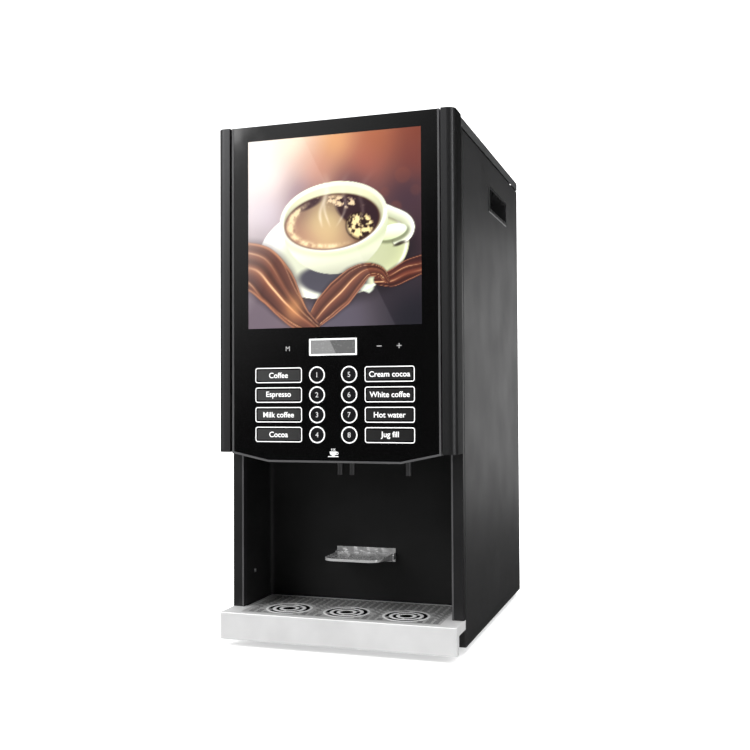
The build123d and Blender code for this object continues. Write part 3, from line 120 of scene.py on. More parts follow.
def soft_light(name, place, target, width, height, watts):
    """A rectangular soft box aimed at a point."""
    lamp = bpy.data.lights.new(name, "AREA")
    lamp.shape = "RECTANGLE"
    lamp.size = width
    lamp.size_y = height
    lamp.energy = watts
    holder = bpy.data.objects.new(name, lamp)
    holder.location = place
    holder.rotation_euler = (Vector(target) - Vector(place)).to_track_quat("-Z", "Y").to_euler()
    bpy.context.scene.collection.objects.link(holder)
    return holder


middle = Vector((0, 0, cad_high.z / 2))
soft_light("key_box", (-1.9, -2.3, 2.3), middle, 1.6, 1.6, 38)
soft_light("right_strip", (2.4, -1.0, 1.1), middle, 0.35, 2.6, 26)
soft_light("top_fill", (0.2, 0.3, 4.2), (0.2, 0.3, 0), 4.5, 4.5, 235)
rear_glow = soft_light("rear_glow", (0.8, 2.4, 0.50), (0.2, 0.3, 0.4), 2.0, 1.1, 7)
rear_glow.visible_camera = False
world = bpy.data.worlds.new("studio")
world.use_nodes = True
world_tree = world.node_tree
sky = world_tree.nodes["Background"]
sky_place = world_tree.nodes.new("ShaderNodeTexCoord")
sky_turn = world_tree.nodes.new("ShaderNodeVectorMath")
sky_turn.operation = "DOT_PRODUCT"
sky_turn.inputs[1].default_value = Vector((-0.70, -0.42, 0.58)).normalized()
world_tree.links.new(sky_place.outputs["Generated"], sky_turn.inputs[0])
sky_glow = world_tree.nodes.new("ShaderNodeValToRGB")
sky_glow.color_ramp.interpolation = "EASE"
for stop, (position, tone) in zip(
    (sky_glow.color_ramp.elements[0], sky_glow.color_ramp.elements[1]), ((0.65, 0.02), (1.0, 1.0))
):
    stop.position = position
    stop.color = (tone, tone, tone, 1)
world_tree.links.new(sky_turn.outputs["Value"], sky_glow.inputs["Fac"])
world_tree.links.new(sky_glow.outputs["Color"], sky.inputs["Color"])
sky.inputs["Strength"].default_value = 2.2
pale = world_tree.nodes.new("ShaderNodeBackground")
pale.inputs["Color"].default_value = (1, 1, 1, 1)
seen = world_tree.nodes.new("ShaderNodeLightPath")
either = world_tree.nodes.new("ShaderNodeMixShader")
world_tree.links.new(seen.outputs["Is Camera Ray"], either.inputs["Fac"])
world_tree.links.new(sky.outputs["Background"], either.inputs[1])
world_tree.links.new(pale.outputs["Background"], either.inputs[2])
world_tree.links.new(either.outputs["Shader"], world_tree.nodes["World Output"].inputs["Surface"])
bpy.context.scene.world = world
bpy.context.scene.view_settings.view_transform = "Standard"

camera_place = Vector((519.6, 1000 * glass_y - 1383.8, 383.8)) * MM
camera_yaw, camera_pitch, camera_roll = 0.316, 0.025, -0.005
camera_lens = 46.76
ahead = Vector(
    (
        -math.sin(camera_yaw) * math.cos(camera_pitch),
        math.cos(camera_yaw) * math.cos(camera_pitch),
        math.sin(camera_pitch),
    )
)
level = Vector((math.cos(camera_yaw), math.sin(camera_yaw), 0))
above = level.cross(ahead)
right = level * math.cos(camera_roll) + above * math.sin(camera_roll)
above = above * math.cos(camera_roll) - level * math.sin(camera_roll)
camera = bpy.data.objects.new("camera", bpy.data.cameras.new("camera"))
camera.data.lens = camera_lens
camera.matrix_world = Matrix.Translation(camera_place) @ Matrix((right, above, -ahead)).transposed().to_4x4()
bpy.context.scene.collection.objects.link(camera)
bpy.context.scene.camera = camera

# ---- Sheet metal skins: side panels, rear panel, base, shelf and bulkhead ---------------------
# Folded steel sheet. The side panels are powder coated in satin charcoal, with the faint orange
# peel of a baked coat; the rear panel and the inner sheets are a plainer grey.


def shading(name, colour, roughness, metallic=0.0, **sockets):
    """A painted material with its node tree, shader and object coordinates, ready for detail."""
    made = paint(name, colour, roughness, metallic, **sockets)
    tree = made.node_tree
    place = tree.nodes.new("ShaderNodeTexCoord")
    return made, tree, tree.nodes["Principled BSDF"], place.outputs["Object"]


def grain(tree, coords, size, detail=3.0, stretch=(1, 1, 1)):
    """Noise whose lumps are about size metres across, longer along a small stretch value."""
    mapping = tree.nodes.new("ShaderNodeMapping")
    mapping.inputs["Scale"].default_value = stretch
    tree.links.new(coords, mapping.inputs["Vector"])
    noise = tree.nodes.new("ShaderNodeTexNoise")
    noise.inputs["Scale"].default_value = 1 / size
    noise.inputs["Detail"].default_value = detail
    tree.links.new(mapping.outputs["Vector"], noise.inputs["Vector"])
    return noise.outputs["Fac"]


def spread(tree, value, socket, low, high):
    """Turns the middle of a noise's range into low..high on a shader socket."""
    ranged = tree.nodes.new("ShaderNodeMapRange")
    ranged.inputs["From Min"].default_value = 0.3
    ranged.inputs["From Max"].default_value = 0.7
    ranged.inputs["To Min"].default_value = low
    ranged.inputs["To Max"].default_value = high
    tree.links.new(value, ranged.inputs["Value"])
    tree.links.new(ranged.outputs["Result"], socket)


def tint(tree, value, socket, dark, light, start=0.3, end=0.7):
    """Runs a pattern through a two-colour ramp into a colour socket."""
    ramp = tree.nodes.new("ShaderNodeValToRGB")
    ramp.color_ramp.elements[0].position = start
    ramp.color_ramp.elements[0].color = (*dark, 1)
    ramp.color_ramp.elements[1].position = end
    ramp.color_ramp.elements[1].color = (*light, 1)
    tree.links.new(value, ramp.inputs["Fac"])
    tree.links.new(ramp.outputs["Color"], socket)


def relief(tree, value, shader, depth):
    """Raises a pattern as bump, depth in metres."""
    bump = tree.nodes.new("ShaderNodeBump")
    bump.inputs["Distance"].default_value = depth
    tree.links.new(value, bump.inputs["Height"])
    tree.links.new(bump.outputs["Normal"], shader.inputs["Normal"])


def dress(material, *names):
    """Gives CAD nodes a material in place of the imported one."""
    for name in names:
        slots = nodes[name].data.materials
        slots.clear()
        slots.append(material)


def powder_coat(name, colour, roughness, peel=0.0012, depth=0.00003, sheen=0.12, **sockets):
    """Baked powder coat: fine peel, slight cloudiness in colour and gloss."""
    made, tree, shader, coords = shading(name, colour, roughness, **sockets)
    peel_noise = grain(tree, coords, peel)
    cloud = grain(tree, coords, 0.09, 2.0)
    relief(tree, peel_noise, shader, depth)
    darker = [c * (1 - sheen) for c in colour]
    lighter = [c * (1 + sheen) for c in colour]
    tint(tree, cloud, shader.inputs["Base Color"], darker, lighter)
    spread(tree, cloud, shader.inputs["Roughness"], roughness * 0.92, roughness * 1.08)
    return made


panel_coat = powder_coat("charcoal_powder_coat", (0.018, 0.018, 0.0185), 0.45, Specular_IOR_Level=0.35)
dress(panel_coat, "right_side_panel", "left_side_panel")
inner_coat = powder_coat("grey_sheet_coat", (0.16, 0.165, 0.17), 0.5)
dress(inner_coat, "rear_panel", "base_pan", "canister_shelf", "motor_bulkhead", "door_back_cover")

# ---- Top lid ---------------------------------------------------------------------------------
# A shallow folded cover with a fine wrinkle texture, greyer than the side panels. Its back edge
# is bevelled and it hangs on two hinges at the rear.
lid_coat = powder_coat("wrinkle_grey_coat", (0.040, 0.040, 0.041), 0.6, 0.0009, 0.00012, 0.16)
dress(lid_coat, "top_lid")

# ---- Front frame: pillars and header ---------------------------------------------------------
# A folded channel in satin black behind the door. A narrow strip in a lighter grey runs down the
# inner corner of each pillar: a painted highlight where the bend catches the light.
frame_coat = powder_coat("satin_black_coat", (0.0105, 0.0105, 0.011), 0.42, Specular_IOR_Level=0.3)
dress(frame_coat, "front_frame")
strip_width = 2.6 * MM
strip_proud = 0.4 * MM
frame_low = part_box("front_frame")[0]
bay_low, bay_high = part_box("cup_bay_liner")


def slab_points(low, high):
    """The eight corners of a box."""
    return [(x, y, z) for x in (low[0], high[0]) for y in (low[1], high[1]) for z in (low[2], high[2])]


slab_faces = [(0, 1, 3, 2), (4, 6, 7, 5), (0, 4, 5, 1), (2, 3, 7, 6), (0, 2, 6, 4), (1, 5, 7, 3)]


def slabs(name, boxes, material, bevel):
    """Boxes with softened edges, joined as one piece."""
    points, faces = [], []
    for low, high in boxes:
        faces += [tuple(len(points) + i for i in face) for face in slab_faces]
        points += slab_points(low, high)
    piece = mesh_piece(name, points, faces, material)
    work = bmesh.new()
    work.from_mesh(piece.data)
    bmesh.ops.bevel(work, geom=work.edges[:], offset=bevel, segments=2, affect="EDGES", profile=0.5)
    bmesh.ops.recalc_face_normals(work, faces=work.faces[:])
    work.to_mesh(piece.data)
    work.free()
    return piece


# A lighter grey coat for thin strips that stand in for edge highlights: painted highlight.
edge_highlight_coat = powder_coat("painted_edge_highlight", (0.07, 0.07, 0.072), 0.35, 0.0006, 0.00001)
liner_wall = 1.2 * MM
strip_lap = 0.4 * MM
behind_door = 20 * MM
pillar_x = bay_high.x - liner_wall - strip_lap
door_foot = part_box("door_trims")[0].z
strips = slabs(
    "pillar_edge_highlights",
    [
        (
            (min(side * pillar_x, side * (pillar_x + strip_width)), frame_low.y - strip_proud, frame_low.z),
            (max(side * pillar_x, side * (pillar_x + strip_width)), frame_low.y, door_foot + behind_door),
        )
        for side in (-1, 1)
    ],
    edge_highlight_coat, strip_proud / 3,
)
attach(strips, "cabinet")

# ---- Cup bay liner ---------------------------------------------------------------------------
# One vacuum-formed shell in matt black: two side walls, a back wall and a ceiling. Its fine
# leather-like grain keeps drips from showing.


def moulded(name, colour, roughness, grain_size=0.0008, depth=0.00003, **sockets):
    """Moulded plastic: spark-eroded grain and faint flow marks."""
    made, tree, shader, coords = shading(name, colour, roughness, **sockets)
    relief(tree, grain(tree, coords, grain_size), shader, depth)
    flow = grain(tree, coords, 0.05, 2.0)
    tint(tree, flow, shader.inputs["Base Color"], [c * 0.88 for c in colour], [c * 1.12 for c in colour])
    spread(tree, flow, shader.inputs["Roughness"], roughness * 0.93, roughness * 1.07)
    return made


liner_black = moulded(
    "matt_black_liner", (0.0085, 0.0085, 0.0088), 0.5, 0.0011, 0.00005, Specular_IOR_Level=0.25
)
dress(liner_black, "cup_bay_liner")

# ---- Door frame and pane ---------------------------------------------------------------------
# The moulded frame shows as a thin grey rim round a toughened pane, which is printed black on
# its back and polished to a mirror gloss. The rim is satin, the pane is not.
rim_satin = moulded("satin_grey_rim", (0.075, 0.075, 0.077), 0.38, 0.0006, 0.00001)
dress(rim_satin, "door_frame")
pane_gloss, pane_tree, pane_shader, pane_coords = shading(
    "black_pane", (0.0012, 0.0012, 0.0013), 0.06, Specular_IOR_Level=0.6
)
spread(pane_tree, grain(pane_tree, pane_coords, 0.03), pane_shader.inputs["Roughness"], 0.05, 0.12)
dress(pane_gloss, "door_glass")

# ---- Door trims ------------------------------------------------------------------------------
# Rounded edge mouldings in a dark metallic coat. A fine lighter bead runs down each one's inner
# edge, beside the groove: a painted highlight where the edge's bevel catches the light.
trim_coat, trim_tree, trim_shader, trim_coords = shading(
    "dark_metallic_coat", (0.055, 0.055, 0.057), 0.36, 0.85, Specular_Tint=(0.3, 0.3, 0.3, 1)
)
flake = grain(trim_tree, trim_coords, 0.0004, 1.0)
tint(trim_tree, flake, trim_shader.inputs["Base Color"], (0.045, 0.045, 0.046), (0.068, 0.068, 0.07))
relief(trim_tree, grain(trim_tree, trim_coords, 0.0015), trim_shader, 0.00001)


def face_outwards(mesh, weld=0.0):
    """Turns a closed mesh's faces outwards, once corners that lie within weld metres are joined."""
    work = bmesh.new()
    work.from_mesh(mesh)
    if weld:
        bmesh.ops.remove_doubles(work, verts=work.verts[:], dist=weld)
    bmesh.ops.recalc_face_normals(work, faces=work.faces[:])
    work.to_mesh(mesh)
    work.free()


def rounded(name, node, body, material):
    """Stands for a CAD node with the same shape, its rounds shaded smooth."""
    mesh = nodes[node].data.copy()
    mesh.name = name
    face_outwards(mesh, 1e-6)
    mesh.shade_smooth()
    mesh.set_sharp_from_angle(angle=math.radians(25))
    mesh.materials.clear()
    mesh.materials.append(material)
    piece = bpy.data.objects.new(name, mesh)
    bpy.context.scene.collection.objects.link(piece)
    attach(piece, body)
    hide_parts(node)
    return piece


rounded("edge_trims", "door_trims", "door", trim_coat)
trims_low, trims_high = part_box("door_trims")
pane_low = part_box("door_glass")[0]
groove = 2.5 * MM
bead = 1.3 * MM
bead_back, bead_front = 1.4 * MM, 0.2 * MM
bead_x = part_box("door_frame")[1].x + groove
# Thin lighter strips along the trims' inner edges: painted highlight.
beads = slabs(
    "trim_edge_highlights",
    [
        (
            (min(side * bead_x, side * (bead_x + bead)), trims_low.y + bead_front, trims_low.z),
            (max(side * bead_x, side * (bead_x + bead)), trims_low.y + bead_back, trims_high.z),
        )
        for side in (-1, 1)
    ],
    edge_highlight_coat, 0.3 * MM,
)
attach(beads, "door")

# ---- Illuminated picture ---------------------------------------------------------------------
# A printed film lit from behind: a cup of coffee on its saucer against a warm glow, with a fold
# of brown silk in front. It is painted here, cell by cell, from ellipses, ribbons and clouds.
picture_low, picture_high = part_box("poster")
cell = 1.3 * MM
film_proud = 0.15 * MM
wide = picture_high.x - picture_low.x
tall = picture_high.z - picture_low.z
columns = round(wide / cell)
rows = round(tall / cell)
u, v = np.meshgrid(np.linspace(0, 1, columns + 1), np.linspace(0, 1, rows + 1))
px, py = u * wide / MM, v * tall / MM
dice = np.random.default_rng(7)


def clouds(size, layers=4):
    """Soft noise from 0 to 1 over the picture, its largest lumps size millimetres across."""
    total, weight = np.zeros_like(u), 0.0
    for layer in range(layers):
        step = size / 2**layer
        table = dice.random((int(tall / MM / step) + 3, int(wide / MM / step) + 3))
        gx, gy = px / step, py / step
        ix, iy = gx.astype(int), gy.astype(int)
        fx, fy = gx - ix, gy - iy
        fx, fy = fx * fx * (3 - 2 * fx), fy * fy * (3 - 2 * fy)
        low_row = table[iy, ix] * (1 - fx) + table[iy, ix + 1] * fx
        high_row = table[iy + 1, ix] * (1 - fx) + table[iy + 1, ix + 1] * fx
        total += (low_row * (1 - fy) + high_row * fy) / 2**layer
        weight += 1 / 2**layer
    return total / weight


def over(canvas, colour, mask):
    """Lays a colour on the canvas where the mask is up to 1."""
    return canvas * (1 - mask[..., None]) + np.asarray(colour) * mask[..., None]


def step_mask(distance, blur=0.8):
    """1 inside a shape, 0 outside, from a signed distance in millimetres that is negative inside."""
    t = np.clip(0.5 - distance / blur, 0, 1)
    return t * t * (3 - 2 * t)


def ellipse(cx, cy, rx, ry, tilt=0.0):
    """Roughly signed distance in millimetres to an ellipse on the picture."""
    c, s = math.cos(math.radians(tilt)), math.sin(math.radians(tilt))
    dx, dy = px - cx, py - cy
    ex, ey = (dx * c + dy * s) / rx, (dy * c - dx * s) / ry
    r = np.sqrt(ex * ex + ey * ey) + 1e-6
    return (r - 1) * min(rx, ry)


def glow(points):
    """Blends colours between their places, given as shares of the width and height."""
    total, weight = np.zeros(u.shape + (3,)), np.zeros(u.shape)
    for cu, cv, colour in points:
        pull = 1 / (((u - cu) ** 2 + (v - cv) ** 2) + 0.012) ** 1.6
        total += pull[..., None] * np.asarray(colour)
        weight += pull
    return total / weight[..., None]


def ribbon(points, widths):
    """Across (-1 to 1) and along (0 to 1) coordinates of a band that follows a smooth line."""
    knots = np.array(points, float)
    ends = np.vstack([2 * knots[0] - knots[1], knots, 2 * knots[-1] - knots[-2]])
    line, width = [], []
    for i in range(len(knots) - 1):
        for t in np.linspace(0, 1, 24, endpoint=False):
            a, b, c, d = ends[i:i + 4]
            square, cube = 2 * a - 5 * b + 4 * c - d, 3 * b - a - 3 * c + d
            line.append(0.5 * (2 * b + (c - a) * t + square * t**2 + cube * t**3))
            width.append(widths[i] * (1 - t) + widths[i + 1] * t)
    line, width = np.array(line), np.array(width)
    heading = np.gradient(line, axis=0)
    heading /= np.linalg.norm(heading, axis=1)[:, None]
    best = np.full(u.shape, 1e9)
    across, along = np.zeros_like(u), np.zeros_like(u)
    for i, ((lx, ly), (hx, hy), w) in enumerate(zip(line, heading, width)):
        dx, dy = px - lx, py - ly
        far = dx * dx + dy * dy
        near = far < best
        best = np.where(near, far, best)
        across = np.where(near, (hx * dy - hy * dx) / w, across)
        along = np.where(near, i / len(line), along)
    reach = np.sqrt(best) / np.interp(along, np.linspace(0, 1, len(width)), width)
    return across, along, reach


canvas = glow([
    (0.02, 0.98, (0.97, 0.93, 0.88)), (0.25, 0.99, (0.95, 0.84, 0.70)), (0.52, 0.96, (0.86, 0.64, 0.42)),
    (0.75, 0.97, (0.63, 0.36, 0.24)), (0.98, 0.98, (0.45, 0.22, 0.16)), (0.12, 0.80, (0.93, 0.85, 0.82)),
    (0.40, 0.84, (0.80, 0.56, 0.47)), (0.68, 0.84, (0.66, 0.36, 0.29)), (0.97, 0.85, (0.42, 0.21, 0.19)),
    (0.10, 0.62, (0.74, 0.69, 0.74)), (0.30, 0.70, (0.47, 0.38, 0.43)), (0.62, 0.73, (0.27, 0.20, 0.26)),
    (0.92, 0.66, (0.22, 0.16, 0.21)), (0.05, 0.45, (0.55, 0.50, 0.52)), (0.95, 0.45, (0.20, 0.14, 0.17)),
    (0.45, 0.25, (0.27, 0.23, 0.27)), (0.85, 0.20, (0.16, 0.14, 0.17)), (0.05, 0.05, (0.36, 0.31, 0.35)),
    (0.55, 0.05, (0.28, 0.26, 0.31)), (0.95, 0.04, (0.10, 0.10, 0.13)),
])
canvas *= 0.96 + 0.08 * clouds(110, 2)[..., None]
soft_spots = (
    (0.86, 0.60, 9, 0.20), (0.93, 0.53, 6, 0.18), (0.80, 0.68, 7, 0.12), (0.90, 0.76, 12, 0.15),
    (0.97, 0.68, 8, 0.12),
)
for spot_u, spot_v, spot_r, strength in soft_spots:
    disc = step_mask(ellipse(spot_u * wide / MM, spot_v * tall / MM, spot_r, spot_r), 5)
    canvas = over(canvas, (0.62, 0.32, 0.22), disc * strength)

saucer = ellipse(140, 117, 122, 74, 5)
canvas = over(canvas, (0.10, 0.08, 0.10), step_mask(ellipse(150, 106, 126, 72, 5), 22) * 0.6)
saucer_tone = np.clip((px - 10) / 235, 0, 1)[..., None]
saucer_colour = np.array((1.0, 1.0, 0.99)) * (1 - saucer_tone) + np.array((0.78, 0.80, 0.62)) * saucer_tone
canvas = over(canvas, saucer_colour, step_mask(saucer))
canvas = over(canvas, (1.0, 1.0, 0.97), np.exp(-(((saucer + 2.5) / 1.4) ** 2)) * 0.8)
canvas = over(canvas, (0.62, 0.64, 0.50), step_mask(ellipse(150, 112, 100, 50, 5), 16) * 0.45)
canvas = over(canvas, (0.19, 0.18, 0.23), step_mask(ellipse(140, 70, 56, 22, -6), 7) * 0.92)

strand = ribbon(
    [(216, 176), (236, 168), (255, 158), (263, 145), (257, 131), (240, 124)], [9, 8, 8, 7.5, 7, 4]
)
canvas = over(canvas, (0.30, 0.24, 0.24), step_mask((strand[2] - 1.25) * 8, 8) * 0.6)
strand_tone = np.clip(0.62 + 0.4 * strand[0], 0, 1)[..., None]
canvas = over(
    canvas, np.array((0.60, 0.62, 0.47)) * (1 - strand_tone) + np.array((0.99, 1.0, 0.93)) * strand_tone,
    step_mask((strand[2] - 1) * 8, 1.2),
)
lobe = ellipse(234, 139, 25, 11, 13)
lobe_tone = np.clip(0.55 + (py - 139) / 20, 0, 1)[..., None]
canvas = over(canvas, (0.42, 0.44, 0.32), step_mask(ellipse(236, 136, 27, 13, 13), 4) * 0.75)
canvas = over(
    canvas, np.array((0.80, 0.84, 0.66)) * (1 - lobe_tone) + np.array((0.97, 0.99, 0.93)) * lobe_tone,
    step_mask(lobe, 1.6),
)
canvas = over(canvas, (0.16, 0.13, 0.10), step_mask(ellipse(247, 121, 9, 2.6, 20), 2.5) * 0.85)

bowl = np.maximum(ellipse(143, 162, 86, 82, 0), py - 166)
bowl_side = np.clip((px - 60) / 165, 0, 1)
bowl_shade = 1.0 - 0.15 * bowl_side**1.3 - 0.24 * np.clip((126 - py) / 48, 0, 1) ** 1.5
bowl_colour = bowl_shade[..., None] * np.array((0.99, 1.0, 0.88))
canvas = over(canvas, bowl_colour, step_mask(bowl))
lip_shade = np.exp(-(((ellipse(141, 168, 87, 53, 4) - 5) / 4.5) ** 2)) * (py < 168)
canvas = over(canvas, (0.72, 0.76, 0.58), lip_shade * step_mask(bowl) * 0.5)
rim_outer = ellipse(141, 168, 87, 53, 4)
rim_light = 0.93 + 0.07 * np.clip(1 - np.abs(px - 90) / 90, 0, 1)
canvas = over(canvas, rim_light[..., None] * np.array((0.97, 0.98, 0.87)), step_mask(rim_outer))
canvas = over(canvas, (1.0, 1.0, 0.96), np.exp(-(((rim_outer + 2.2) / 1.6) ** 2)) * (py < 175) * 0.9)
inner_wall = ellipse(141, 167, 81, 47, 4)
wall_shade = 0.66 + 0.26 * np.clip((py - 150) / 60, 0, 1)
canvas = over(canvas, wall_shade[..., None] * np.array((0.97, 0.97, 0.80)), step_mask(inner_wall, 2.5))
coffee = ellipse(139, 160, 77, 42, 4)
drink = glow([
    (0.24, 0.54, (0.55, 0.37, 0.33)), (0.30, 0.47, (0.62, 0.42, 0.35)), (0.41, 0.55, (0.95, 0.89, 0.62)),
    (0.50, 0.54, (0.95, 0.87, 0.60)), (0.45, 0.48, (0.86, 0.74, 0.50)), (0.38, 0.44, (0.66, 0.45, 0.38)),
    (0.55, 0.46, (0.72, 0.55, 0.40)), (0.33, 0.62, (0.26, 0.16, 0.19)), (0.70, 0.52, (0.15, 0.07, 0.09)),
    (0.66, 0.62, (0.18, 0.09, 0.12)), (0.74, 0.56, (0.14, 0.06, 0.09)), (0.55, 0.67, (0.20, 0.12, 0.13)),
])
dark_pool = np.minimum(ellipse(190, 172, 46, 24, -22), ellipse(98, 190, 26, 9, 18))
drink = over(drink, (0.17, 0.09, 0.12), step_mask(dark_pool, 5) * 0.92)
fleck = clouds(6, 3)
froth_line = np.exp(-(((coffee + 5) / 3.4) ** 2)) * np.clip((150 - px) / 40 + (150 - py) / 40, 0, 1)
drink = over(drink, (0.90, 0.80, 0.62), np.clip(froth_line * (fleck * 2.6 - 0.5), 0, 1))
foam_patch = step_mask(ellipse(185, 152, 21, 19, -30), 7)
drink = over(drink, (0.16, 0.09, 0.08), step_mask(ellipse(184, 151, 23, 21, -30), 3) * 0.9)
drink = over(drink, (0.95, 0.86, 0.62), foam_patch * np.clip((fleck - 0.40) * 7, 0, 1))
upper_froth = step_mask(ellipse(150, 190, 36, 9, -8), 6)
drink = over(drink, (0.88, 0.77, 0.62), upper_froth * np.clip((fleck - 0.47) * 7, 0, 1))
canvas = over(canvas, drink, step_mask(coffee, 1.2))
canvas = over(canvas, (0.32, 0.20, 0.15), np.exp(-((coffee / 1.2) ** 2)) * 0.6)
wisps = (
    (122, 0.12, 4.5, 0.55, 1.7), (134, -0.10, 3.5, 0.50, 1.2), (150, 0.20, 5.5, 0.40, 1.5),
    (176, 0.30, 7.0, 0.22, 1.8),
)
for steam_x, lean, swing, strength, fine in wisps:
    rise = py - 150
    middle_x = steam_x + lean * rise + swing * np.sin(rise / 12 + steam_x)
    wisp = np.exp(-(((px - middle_x) / (fine + np.clip(rise, 0, 99) * 0.045)) ** 2))
    wisp *= np.clip(rise / 15, 0, 1) * np.clip(1 - rise / 88, 0, 1)
    canvas = over(canvas, (1.0, 0.97, 0.88), wisp * strength)


def silk(canvas, points, widths, folds, dark, bright):
    """Drapes a band of satin: each fold is (start, end, width, strength) across the band."""
    across, along, reach = ribbon(points, widths)
    drift = 0.10 * np.sin(along * 7 + 1.3) + (clouds(70, 2) - 0.5) * 0.30
    shade = 0.35 + 0.25 * np.sin(across * 2.2 + along * 3)
    colour = np.asarray(dark) + shade[..., None] * (np.asarray(bright) - np.asarray(dark)) * 0.50
    for start, end, width, strength in folds:
        crest = start + (end - start) * along + drift
        valley = np.exp(-(((across - crest - 1.9 * width) / (1.5 * width)) ** 2))
        colour = over(colour, np.asarray(dark) * 0.55, valley * strength * 0.8)
        flank = np.exp(-(((across - crest) / (2.2 * width)) ** 2))
        colour = over(colour, bright, flank * strength * 0.5)
        line = np.exp(-(((across - crest) / (0.45 * width)) ** 2))
        shimmer = 0.55 + 0.45 * np.sin(along * 6 + start * 5)
        colour = over(colour, (1.0, 0.80, 0.58), line * strength * shimmer)
    rim = np.exp(-(((np.abs(across) - 0.95) / 0.05) ** 2))
    colour = over(colour, (0.93, 0.62, 0.42), rim * 0.55)
    shadow = step_mask((reach - 1.10) * 20, 9)
    return over(over(canvas, (0.12, 0.08, 0.10), shadow * 0.5), colour, step_mask((reach - 1) * 20, 1.4))


umber, copper = (0.21, 0.115, 0.115), (0.68, 0.38, 0.25)
canvas = silk(
    canvas, [(292, 92), (262, 82), (236, 70), (214, 68)], [13, 15, 13, 8],
    [(0.5, 0.2, 0.16, 0.8), (-0.2, -0.5, 0.12, 0.6)], (0.20, 0.10, 0.11), (0.62, 0.32, 0.22),
)
saucer_foot = np.maximum(ellipse(183, 52, 24, 9, 14), 55 - py - (px - 183) * 0.4)
canvas = over(canvas, (0.90, 0.94, 0.84), step_mask(saucer_foot, 2) * 0.85)
canvas = silk(
    canvas, [(104, 2), (128, 28), (152, 50), (176, 72), (196, 83), (216, 80), (228, 66)],
    [10, 19, 22, 18, 11, 8, 4],
    [(-0.80, -0.55, 0.06, 0.9), (-0.1, 0.25, 0.12, 0.8), (0.70, 0.75, 0.06, 0.5)], umber, copper,
)
canvas = silk(
    canvas, [(-16, 102), (18, 92), (46, 66), (66, 38), (84, 16), (108, -2)], [36, 38, 34, 26, 19, 12],
    [(-0.88, -0.80, 0.05, 0.9), (-0.25, 0.05, 0.11, 1.0), (0.38, 0.42, 0.07, 0.6), (0.90, 0.85, 0.05, 0.4)],
    umber, copper,
)
golden = np.exp(-(((px - 77) / 15) ** 2 + ((py - 30) / 20) ** 2))
canvas = over(canvas, (0.90, 0.62, 0.36), golden * 0.5)
# Painted reflection of the glass over the print: a faint lighter band left of a slanting line, and a pale
# wash in the top left corner.
painted_glare_line = px - (0.33 * wide / MM + (tall / MM - py) * 0.50)
canvas = over(canvas, (1.0, 0.98, 0.98), step_mask(painted_glare_line, 1.5) * 0.07)
canvas = over(canvas, (1.0, 0.98, 0.96), np.clip(1.15 - u * 2.2 - (1 - v) * 1.2, 0, 1) * 0.55)
srgb = np.clip(canvas, 0, 1)
linear = np.where(srgb <= 0.04045, srgb / 12.92, ((srgb + 0.055) / 1.055) ** 2.4)

film_y = pane_low.y - film_proud
film_points = np.stack(
    [picture_low.x + u * wide, np.full_like(u, film_y), picture_low.z + v * tall], -1
).reshape(-1, 3)
across_count = columns + 1
cells = [r * across_count + c for r in range(rows) for c in range(columns)]
film_faces = [(k, k + 1, k + across_count + 1, k + across_count) for k in cells]
film = mesh_piece("lit_picture", film_points, film_faces)
pigment = film.data.color_attributes.new("pigment", "FLOAT_COLOR", "POINT")
pigment.data.foreach_set("color", np.dstack([linear, np.ones(u.shape)]).astype(np.float32).ravel())
film_print, film_tree, film_shader, film_coords = shading(
    "lit_picture_print", (0.5, 0.4, 0.3), 0.4, Specular_IOR_Level=0.15, Emission_Strength=0.05
)
inks = film_tree.nodes.new("ShaderNodeVertexColor")
inks.layer_name = "pigment"
film_tree.links.new(inks.outputs["Color"], film_shader.inputs["Base Color"])
film_tree.links.new(inks.outputs["Color"], film_shader.inputs["Emission Color"])
spread(film_tree, grain(film_tree, film_coords, 0.02), film_shader.inputs["Roughness"], 0.38, 0.45)
film.data.materials.append(film_print)
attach(film, "door")
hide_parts("poster")

# ---- Screen print on the pane ----------------------------------------------------------------
# Hard white ink on the glass: a ring round each key, an outlined box beside it, the display's
# border and three touch marks. Each print is a film a few hundredths of a millimetre thick.
ink_thick = 0.06 * MM
ink_front = pane_low.y - ink_thick


def round_outline(cx, cz, radius, steps=64):
    """Points of a circle on the pane."""
    turns = [2 * math.pi * i / steps for i in range(steps)]
    return [(cx + radius * math.cos(a), cz + radius * math.sin(a)) for a in turns]


def box_outline(cx, cz, width, height, corner, steps=7):
    """Points of a rounded rectangle on the pane."""
    outline = []
    for turn, (sx, sz) in enumerate(((1, 1), (-1, 1), (-1, -1), (1, -1))):
        for i in range(steps + 1):
            angle = math.pi / 2 * (turn + i / steps)
            outline.append((
                cx + sx * (width / 2 - corner) + corner * math.cos(angle),
                cz + sz * (height / 2 - corner) + corner * math.sin(angle),
            ))
    return outline


def from_curve(name, curve, material, front):
    """A flat curve or a text made into a mesh that lies on a plane facing -Y, its face at front."""
    maker = bpy.data.objects.new("maker", curve)
    bpy.context.scene.collection.objects.link(maker)
    made = bpy.data.meshes.new_from_object(maker.evaluated_get(bpy.context.evaluated_depsgraph_get()))
    bpy.data.objects.remove(maker)
    made.transform(Matrix.Translation((0, front + curve.extrude, 0)) @ Matrix.Rotation(math.pi / 2, 4, "X"))
    face_outwards(made, 1e-6)
    made.materials.clear()
    made.materials.append(material)
    piece = bpy.data.objects.new(name, made)
    piece.data.name = name
    bpy.context.scene.collection.objects.link(piece)
    return piece


def inlay(name, outlines, material, front=ink_front, thick=ink_thick):
    """A thin filled shape; an outline inside another one cuts a hole."""
    curve = bpy.data.curves.new(name, "CURVE")
    curve.dimensions = "2D"
    curve.fill_mode = "BOTH"
    curve.extrude = thick / 2
    for outline in outlines:
        spline = curve.splines.new("POLY")
        spline.points.add(len(outline) - 1)
        for point, (x, z) in zip(spline.points, outline):
            point.co = (x, z, 0, 1)
        spline.use_cyclic_u = True
    return from_curve(name, curve, material, front)


